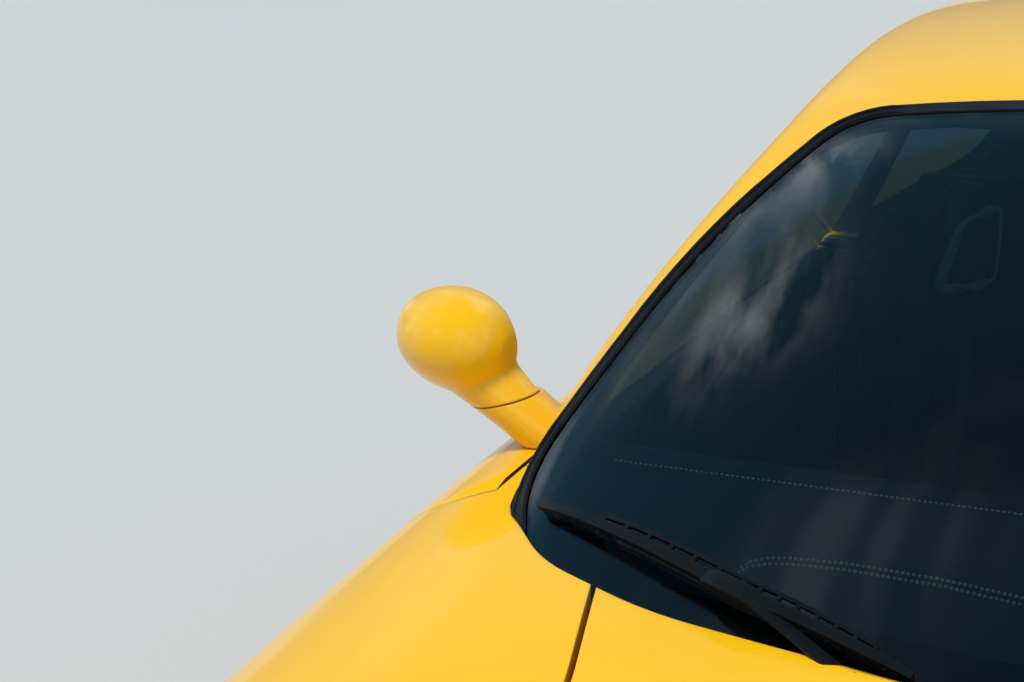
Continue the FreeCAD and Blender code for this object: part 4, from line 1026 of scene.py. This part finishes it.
def handle(side, sx):
    """A pull handle that stands clear of the door between its two feet."""
    stations = []
    for k in range(13):
        share = k / 12
        spot, normal = from_beside((f"door_{side}",), sx, 1.345 + 0.165 * share, HANDLE_HEIGHT)
        rise = 0.021 * min(1.0, math.sin(math.pi * share) * 2.4)
        stations.append((spot + normal * (rise - 0.001), 0.020, 0.010, normal))
    grip = bar(f"door_handle_{side}", stations)
    round_edges(grip, 0.0032, 3)
    finish(grip, f"door_body_{side}", PAINT, 40)
    cup = []
    for k in range(24):
        turn = k * math.tau / 24
        y, z = 1.4275 + 0.062 * curved(math.cos(turn)), HANDLE_HEIGHT + 0.024 * curved(math.sin(turn))
        spot, normal = from_beside((f"door_{side}",), sx, y, z)
        cup.append(spot + normal * 0.0003)
    plate = outline_plate(f"door_handle_plate_{side}", cup, Vector((sx * 0.0012, 0, 0)))
    finish(plate, f"door_body_{side}", BLACK_GLOSS, 30)
    spot, normal = from_beside((f"door_{side}",), sx, 1.545, HANDLE_HEIGHT)
    lock = drum(f"door_lock_{side}", spot - normal * 0.002, spot + normal * 0.002, 0.009)
    round_edges(lock, 0.0006, 2)
    finish(lock, f"door_body_{side}", STEEL)


def beside(sx, y, z):
    return (sx * BESIDE, behind(y), z)


def lid_strip(name, start, end, count, width, height, lift, material, taper=False):
    """A moulding on the engine lid from start to end, each x and distance behind the front axle."""
    spots = spread((start[0], behind(start[1]), ABOVE), (end[0], behind(end[1]), ABOVE), count)
    surface_strip(name, ("engine_lid",), spots, DOWN, width, height, lift, "engine_cover", material,
                  taper)


# the grille's frame on the engine lid, behind the front axle
LID_FRONT, LID_REAR = 2.668, 3.012
for side, sx in SIDES:
    handle(side, sx)
    surface_strip(f"belt_strip_{side}", (f"door_glass_{side}",),
                  spread(beside(sx, 1.02, 0.893), beside(sx, 1.60, 0.893), 12), (-sx, 0, 0),
                  0.010, 0.004, 0.0012, f"door_body_{side}", RUBBER)
    surface_strip(f"front_indicator_{side}", ("front_bumper",),
                  spread((sx * 0.44, AHEAD, 0.372), (sx * 0.66, AHEAD, 0.378), 12), (0, 1, 0),
                  0.020, 0.006, -0.0022, "root", AMBER, taper=True)
    surface_strip(f"side_repeater_{side}", (f"wing_{side}",),
                  spread(beside(sx, 0.40, 0.640), beside(sx, 0.455, 0.640), 6), (-sx, 0, 0),
                  0.018, 0.006, 0.001, "root", AMBER, taper=True)
for k in range(8):
    y = 2.700 + 0.040 * k
    lid_strip(f"lid_slat_{k}", (-0.300, y), (0.300, y), 15, 0.024, 0.006, 0.0035, BLACK_GLOSS)
for end, y in (("front", LID_FRONT), ("rear", LID_REAR)):
    lid_strip(f"lid_frame_{end}", (-0.315, y), (0.315, y), 15, 0.012, 0.008, 0.0025, TRIM)
for side, sx in SIDES:
    lid_strip(f"lid_frame_{side}", (sx * 0.312, LID_FRONT), (sx * 0.312, LID_REAR), 12,
              0.012, 0.008, 0.0025, TRIM)
lid_strip("high_brake_lamp", (-0.150, 2.610), (0.150, 2.610), 11, 0.018, 0.007, 0.001, LAMP_RED,
          taper=True)


def rear_plate(skin):
    """A blank plate let in flush with the tail, with a thin dark rim."""
    for half, low, high, material in ((0.266, 0.364, 0.486, TRIM), (0.260, 0.370, 0.480, PLATE_WHITE)):
        edit_all(skin)
        for place, axis in (((-half, 0, 0), (1, 0, 0)), ((half, 0, 0), (1, 0, 0)),
                            ((0, 0, low), (0, 0, 1)), ((0, 0, high), (0, 0, 1))):
            bpy.ops.mesh.select_all(action="SELECT")
            bpy.ops.mesh.bisect(plane_co=place, plane_no=axis)
        done()
        skin.data.materials.append(material)
        last = len(skin.data.materials) - 1
        for face in skin.data.polygons:
            if abs(face.center.x) < half and low < face.center.z < high and face.normal.y > 0.5:
                face.material_index = last


rear_plate(TAIL)
for side, sx in SIDES:
    tip = spun(f"exhaust_ring_{side}", [
        (0.0415, -0.060), (0.0445, -0.050), (0.0445, -0.006), (0.0435, -0.0015), (0.0415, 0.0),
        (0.0385, -0.002), (0.0375, -0.010), (0.0375, -0.050)], (sx * 0.430, 2.214, 0.300), (0, 1, 0), 56)
    finish(tip, "root", STEEL, 50)


# Cabin
for node, material in (
    ("floor_pan", CARPET), ("wheel_liners", TRIM), ("scuttle_panel", TRIM), ("luggage_tub", CARPET),
    ("centre_console", TRIM), ("seat_shells", LEATHER), ("engine_block", ALLOY), ("exhaust", STEEL),
):
    dress(node, material)
for node, material in (("dashboard", DASH_LEATHER), ("steering_wheel", LEATHER)):
    skin = merged_copy(node)
    if node == "dashboard":
        round_edges(skin, 0.006, 3, 30)
    finish(skin, BODY_OF[node], material, 40)
    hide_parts(node)


def stitches(name, line, pitch, length, radius):
    """Thread lying on a surface: one short run of thread, copied along a line of (place, normal)."""
    nothing_selected()
    bpy.ops.mesh.primitive_uv_sphere_add(segments=6, ring_count=4, radius=1.0)
    seed = bpy.context.object
    shape = bmesh.new()
    gone = 0.0
    for (spot, normal), (after, _) in zip(line, line[1:]):
        run = after - spot
        while gone < run.length:
            at = spot + run.normalized() * gone
            turn = run.to_track_quat("X", "Z").to_matrix().to_4x4()
            size = Matrix.Diagonal((length / 2, radius, radius, 1.0))
            first = len(shape.verts)
            shape.from_mesh(seed.data)
            shape.verts.ensure_lookup_table()
            place = Matrix.Translation(at + normal * radius * 0.4) @ turn @ size
            bmesh.ops.transform(shape, matrix=place, verts=shape.verts[first:])
            gone += pitch
        gone -= run.length
    mesh = bpy.data.meshes.new(name)
    shape.to_mesh(mesh)
    shape.free()
    bpy.data.objects.remove(seed)
    return placed(name, mesh)


def dash_line(marks, steps=24):
    """Marks of (x, distance behind the front axle) as a line on the dashboard."""
    line = []
    for start, end in zip(marks, marks[1:]):
        for k in range(steps):
            share = k / steps
            x, y = (a + share * (b - a) for a, b in zip(start, end))
            spot, normal = from_above(("dashboard",), x, behind(y))
            if spot is not None:
                line.append((spot, normal))
    return line


LIP_STITCH = ((-0.627, 0.704), (-0.200, 0.711), (0.200, 0.711), (0.627, 0.704))
PAD_STITCH = ((-0.4405, 0.5836), (-0.4338, 0.5931), (-0.4180, 0.6003), (-0.3978, 0.6044), (-0.339, 0.6082),
              (-0.250, 0.6067), (-0.167, 0.5993), (0.0, 0.5900))
finish(stitches("dash_lip_stitch", dash_line(LIP_STITCH, 40), 0.0056, 0.0042, 0.0014),
       "root", THREAD, 60)
for k, shift in enumerate((0.0, 0.008)):
    marks = [(x, y - shift) for x, y in PAD_STITCH]
    finish(stitches(f"dash_pad_stitch_{k}", dash_line(marks, 12), 0.0056, 0.0044, 0.0018),
           "root", THREAD, 60)


# Rounded trim rings of the holes in the front seats' backrests, from the corners (x, z) of the right seat's
# outer hole
RING_CORNERS = ((-0.5337, 0.9618), (-0.4821, 0.9870), (-0.4789, 0.8885), (-0.5620, 0.8676))
SEAT_MIDDLE = 0.375
# two heights on the backrest, which give its lean
RING_LOW, RING_HIGH = 0.880, 0.980


def hole_ring(name, mirrored_hole, side_sign):
    low, high = (seen_along(("seat_pads", "seat_shells"), (-SEAT_MIDDLE, 0.0, level), (0, 1, 0))[0]
                 for level in (RING_LOW, RING_HIGH))
    corners = [Vector(c) for c in RING_CORNERS]
    line = []
    for i, corner in enumerate(corners):
        for toward in (corners[i - 1], corners[(i + 1) % 4]):
            line.append(corner + (toward - corner) * 0.20)
            if toward is corners[i - 1]:
                line.append(corner + ((corners[i - 1] - corner) + (corners[(i + 1) % 4] - corner)) * 0.045)
    points = []
    for x, z in line:
        y = low.y + (z - RING_LOW) / (RING_HIGH - RING_LOW) * (high.y - low.y)
        if mirrored_hole:
            x = -2 * SEAT_MIDDLE - x
        points.append((-side_sign * x, y - 0.004, z))
    ring = tube(name, points, 0.0085, closed=True, smooth_line=True, sides=4)
    finish(ring, "root", RING_GREY, 70)


for side, sx in SIDES:
    for k in range(2):
        hole_ring(f"seat_ring_{side}_{k}", bool(k), sx)


def on_dash(x, z):
    return seen_along(("dashboard",), (x, 0.4, z), (0, -1, 0))


# instruments: x, z, radius
DIALS = ((0.375, 0.838, 0.050), (0.270, 0.832, 0.040), (0.480, 0.832, 0.040))


def dial(number, x, z, radius):
    spot, normal = on_dash(x, z)
    ring = spun(f"dial_ring_{number}", [
        (radius, -0.004), (radius + 0.005, 0.004), (radius + 0.004, 0.010), (radius, 0.012),
        (radius - 0.003, 0.008), (radius - 0.004, 0.001)], spot, normal, 48)
    finish(ring, "root", STEEL, 50)
    face = drum(f"dial_face_{number}", spot - normal * 0.003, spot + normal * 0.0025, radius - 0.002, 48)
    finish(face, "root", DIAL)
    marks = []
    across = normal.cross(Vector((0, 0, 1))).normalized()
    over = across.cross(normal)
    for k in range(21):
        turn = math.radians(-40 + 13 * k)
        out = across * math.cos(turn) + over * math.sin(turn)
        at = spot + normal * 0.003 + out * (radius - 0.012)
        long = 0.0045 if k % 5 == 0 else 0.0028
        marks.append(bar("mark", [(at - out * long, 0.0010, 0.0006, normal),
                                  (at + out * long, 0.0010, 0.0006, normal)]))
    out = across * math.cos(math.radians(215)) + over * math.sin(math.radians(215))
    marks.append(bar("needle", [(spot + normal * 0.0045 - out * 0.008, 0.0030, 0.0010, normal),
                                (spot + normal * 0.0045 + out * (radius - 0.012), 0.0008, 0.0008, normal)]))
    marks.append(drum("pivot", spot + normal * 0.002, spot + normal * 0.0060, 0.006, 24))
    finish(joined(f"dial_marks_{number}", marks), "root", PLATE_WHITE, 40)


for number, values in enumerate(DIALS):
    dial(number, *values)


def centre_stack():
    spot, normal = on_dash(0.0, 0.800)
    across = Vector((1, 0, 0))
    over = across.cross(normal).normalized()
    if over.z < 0:
        over = -over
    corners = soft_oval(spot + normal * 0.002, across * 0.092, over * 0.052, 40)
    frame_plate = outline_plate("display_frame", corners, normal * 0.006)
    finish(frame_plate, "root", TRIM, 30)
    inner = [spot + normal * 0.0085 + across * a + over * b
             for a, b in ((-0.074, -0.036), (0.074, -0.036), (0.074, 0.036), (-0.074, 0.036))]
    finish(outline_plate("trim", inner, normal * 0.0015), "root", SCREEN, 30)
    knobs = []
    for x in (-0.118, 0.118):
        place, out = on_dash(x, 0.795)
        knobs.append(drum("knob", place, place + out * 0.022, 0.017, 32, 0.9))
    knob_pair = joined("stack_knobs", knobs)
    round_edges(knob_pair, 0.002, 3)
    finish(knob_pair, "root", BLACK_GLOSS, 40)
    vents = []
    for middle in (-0.560, -0.150, 0.150, 0.600):
        for level in range(5):
            z = 0.862 + 0.0095 * (level - 2)
            place, out = on_dash(middle, z)
            if place is not None:
                vents.append(block("vane", place + Vector((-0.036, -0.006, -0.0022)),
                                   place + Vector((0.036, 0.010, 0.0022))))
    slats = joined("dash_vents", vents)
    round_edges(slats, 0.0012, 2)
    finish(slats, "root", BLACK_GLOSS, 40)


centre_stack()


def gear_lever():
    foot, _ = from_above(("centre_console",), 0, behind(1.090))
    boot = spun("gear_boot", [(0.052, -0.002), (0.052, 0.004), (0.044, 0.010), (0.036, 0.020), (0.030, 0.034),
                              (0.020, 0.052), (0.012, 0.066), (0.009, 0.078)], foot, (0, -0.12, 1), 40)
    finish(boot, "root", LEATHER, 50)
    top = foot + Vector((0, -0.016, 0.140))
    stick = drum("gear_stick", foot + Vector((0, -0.006, 0.050)), top, 0.0062, 24)
    finish(stick, "root", STEEL, 40)
    knob = spun("gear_knob", [(0.0, 0.030), (0.012, 0.028), (0.020, 0.021), (0.023, 0.010), (0.021, -0.004),
                              (0.015, -0.016), (0.010, -0.022), (0.0, -0.023)], top, (0, -0.12, 1), 40)
    finish(knob, "root", LEATHER, 60)
    start, _ = from_above(("centre_console",), 0.045, behind(1.300))
    hand_brake = tube("brake_grip", [start + Vector((0, 0.10, -0.004)), start + Vector((0, 0.02, 0.030)),
                                     start + Vector((0, -0.07, 0.062))], 0.013, sides=5)
    finish(hand_brake, "root", LEATHER, 60)


gear_lever()


def cabin_mirror():
    top, _ = seen_along(("windscreen", "roof_frame"), (0, behind(1.040), 0.9), (0, 0, 1))
    place = top + Vector((0, 0.030, -0.055))
    pod = spun("cabin_mirror", [(0.0, 0.016), (0.020, 0.014), (0.031, 0.006), (0.033, 0.0), (0.031, -0.002),
                                (0.0, -0.002)], (0, 0, 0), (0, -1, 0), 48)
    for vertex in pod.data.vertices:
        vertex.co = Vector((vertex.co.x * 3.3, vertex.co.y, vertex.co.z)) + place
    finish(pod, "root", TRIM, 60)
    stalk = tube("cabin_mirror_stalk", [
        place + Vector((0, -0.006, 0.010)), place + Vector((0, -0.016, 0.032)),
        top + Vector((0, 0.002, -0.003))], 0.006, sides=4)
    finish(stalk, "root", TRIM, 60)


cabin_mirror()


def door_trim(side, sx):
    """Armrest and speaker on the inside of the door."""
    inside = (f"door_{side}",)

    def inner(y, z):
        return seen_along(inside, (sx * 0.30, behind(y), z), (sx, 0, 0))

    rest = []
    for k in range(11):
        share = k / 10
        spot, normal = inner(0.96 + 0.46 * share, 0.545 + 0.020 * share)
        if spot is not None:
            rest.append((spot + normal * 0.022, 0.046, 0.046 - 0.014 * abs(share - 0.5), normal))
    arm = bar(f"door_rest_{side}", rest)
    round_edges(arm, 0.010, 3)
    finish(arm, f"door_body_{side}", LEATHER, 50)
    spot, normal = inner(0.830, 0.420)
    if spot is not None:
        speaker = spun(f"door_speaker_{side}", [(0.0, 0.006), (0.030, 0.0062), (0.060, 0.005), (0.068, 0.006),
                                                (0.074, 0.004), (0.076, -0.003)], spot, normal, 48)
        finish(speaker, f"door_body_{side}", TRIM, 40)


for side, sx in SIDES:
    door_trim(side, sx)


def quarter_trim(side, sx):
    """The trimmed panel beside the rear seats, and the rubber that closes the door's rear edge."""
    seal = bar(f"door_seal_{side}", [
        ((sx * 0.6935, behind(1.640), 0.285 + 0.118 * k), 0.0050, 0.034, (0, 1, 0)) for k in range(6)])
    round_edges(seal, 0.0018, 2)
    finish(seal, "root", RUBBER, 40)
    panel = block(f"quarter_trim_{side}", (min(sx * 0.700, sx * 0.714), behind(1.665), 0.720),
                  (max(sx * 0.700, sx * 0.714), behind(2.120), 0.872))
    round_edges(panel, 0.005, 3)
    finish(panel, "root", LEATHER, 40)


for side, sx in SIDES:
    quarter_trim(side, sx)


def wheel_boss():
    """A soft cushion and a steel trim ring on the steering wheel's middle."""
    centre, axis = Vector((0.375, -0.300, 0.800)), Vector((0, 0.9207, 0.3903))
    boss = spun("steering_boss", [
        (0.0, 0.020), (0.026, 0.019), (0.044, 0.014), (0.052, 0.004), (0.052, -0.010)],
        centre + axis * 0.006, axis, 48)
    finish(boss, "steering", LEATHER, 60)
    trim_ring = spun("steering_ring", [(0.054, -0.006), (0.057, 0.0), (0.054, 0.005), (0.051, 0.0)],
                     centre + axis * 0.010, axis, 48)
    finish(trim_ring, "steering", STEEL, 60)


wheel_boss()


# Padded seats: the CAD pads, swollen as stuffed leather
def loose_parts(node):
    """The node's separate solids, each as a merged skin of its own."""
    edit_all(merged_copy(node))
    bpy.ops.mesh.separate(type="LOOSE")
    done()
    return list(bpy.context.selected_objects)


def stuffed(piece, grain=0.008, pressure=4.0, cap=0.012):
    """Swells the piece by pressure cloth, no point of it by more than cap."""
    apply_modifier(piece, "REMESH", mode="VOXEL", voxel_size=grain)
    start = [v.co.copy() for v in piece.data.vertices]
    pick(piece)
    cloth = piece.modifiers.new("cloth", "CLOTH")
    cloth.settings.use_pressure = True
    cloth.settings.uniform_pressure_force = pressure
    cloth.settings.effector_weights.gravity = 0
    scene = bpy.context.scene
    for step in range(1, 21):
        scene.frame_set(step)
    bpy.ops.object.modifier_apply(modifier=cloth.name)
    scene.frame_set(1)
    for vertex, rest in zip(piece.data.vertices, start):
        move = vertex.co - rest
        if move.length > cap:
            vertex.co = rest + move.normalized() * cap


def channel(piece, axis, places, depth, width, facing):
    """Sewn channels: the skin is drawn in along lines across an axis, where it looks towards facing."""
    facing = Vector(facing).normalized()
    normals = [v.normal.copy() for v in piece.data.vertices]
    for vertex, normal in zip(piece.data.vertices, normals):
        look = max(normal.dot(facing), 0)
        pull = sum(math.exp(-((vertex.co[axis] - at) / width) ** 2) for at in places)
        vertex.co -= normal * (depth * min(pull, 1) * look)


for number, pad in enumerate(sorted(loose_parts("seat_pads"), key=lambda p: p.name)):
    stuffed(pad)
    low = min(v.co.z for v in pad.data.vertices)
    centre_x = sum(v.co.x for v in pad.data.vertices) / len(pad.data.vertices)
    facing = (0, 0, 1) if low < 0.28 and max(v.co.z for v in pad.data.vertices) < 0.5 else (0, -0.95, 0.3)
    channel(pad, 0, (centre_x - 0.13, centre_x + 0.13), 0.006, 0.006, facing)
    pad.name = f"seat_cushion_{number}"
    finish(pad, "root", LEATHER, 60)
    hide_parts("seat_pads")
bench = merged_copy("rear_seat", "rear_seat_cushion")
stuffed(bench, 0.010)
finish(bench, "root", LEATHER, 60)
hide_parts("rear_seat")


# Floor
nothing_selected()
bpy.ops.mesh.primitive_plane_add(size=300)
floor = bpy.context.object
floor.name = "studio_floor"
floor_paint, floor_tree, floor_shader = principled("pale_floor", (0.56, 0.54, 0.52), Specular_IOR_Level=0.1)
vary_roughness(floor_tree, floor_shader, 0.6, 0.55, 0.7)
floor.data.materials.append(floor_paint)

bpy.context.view_layer.update()
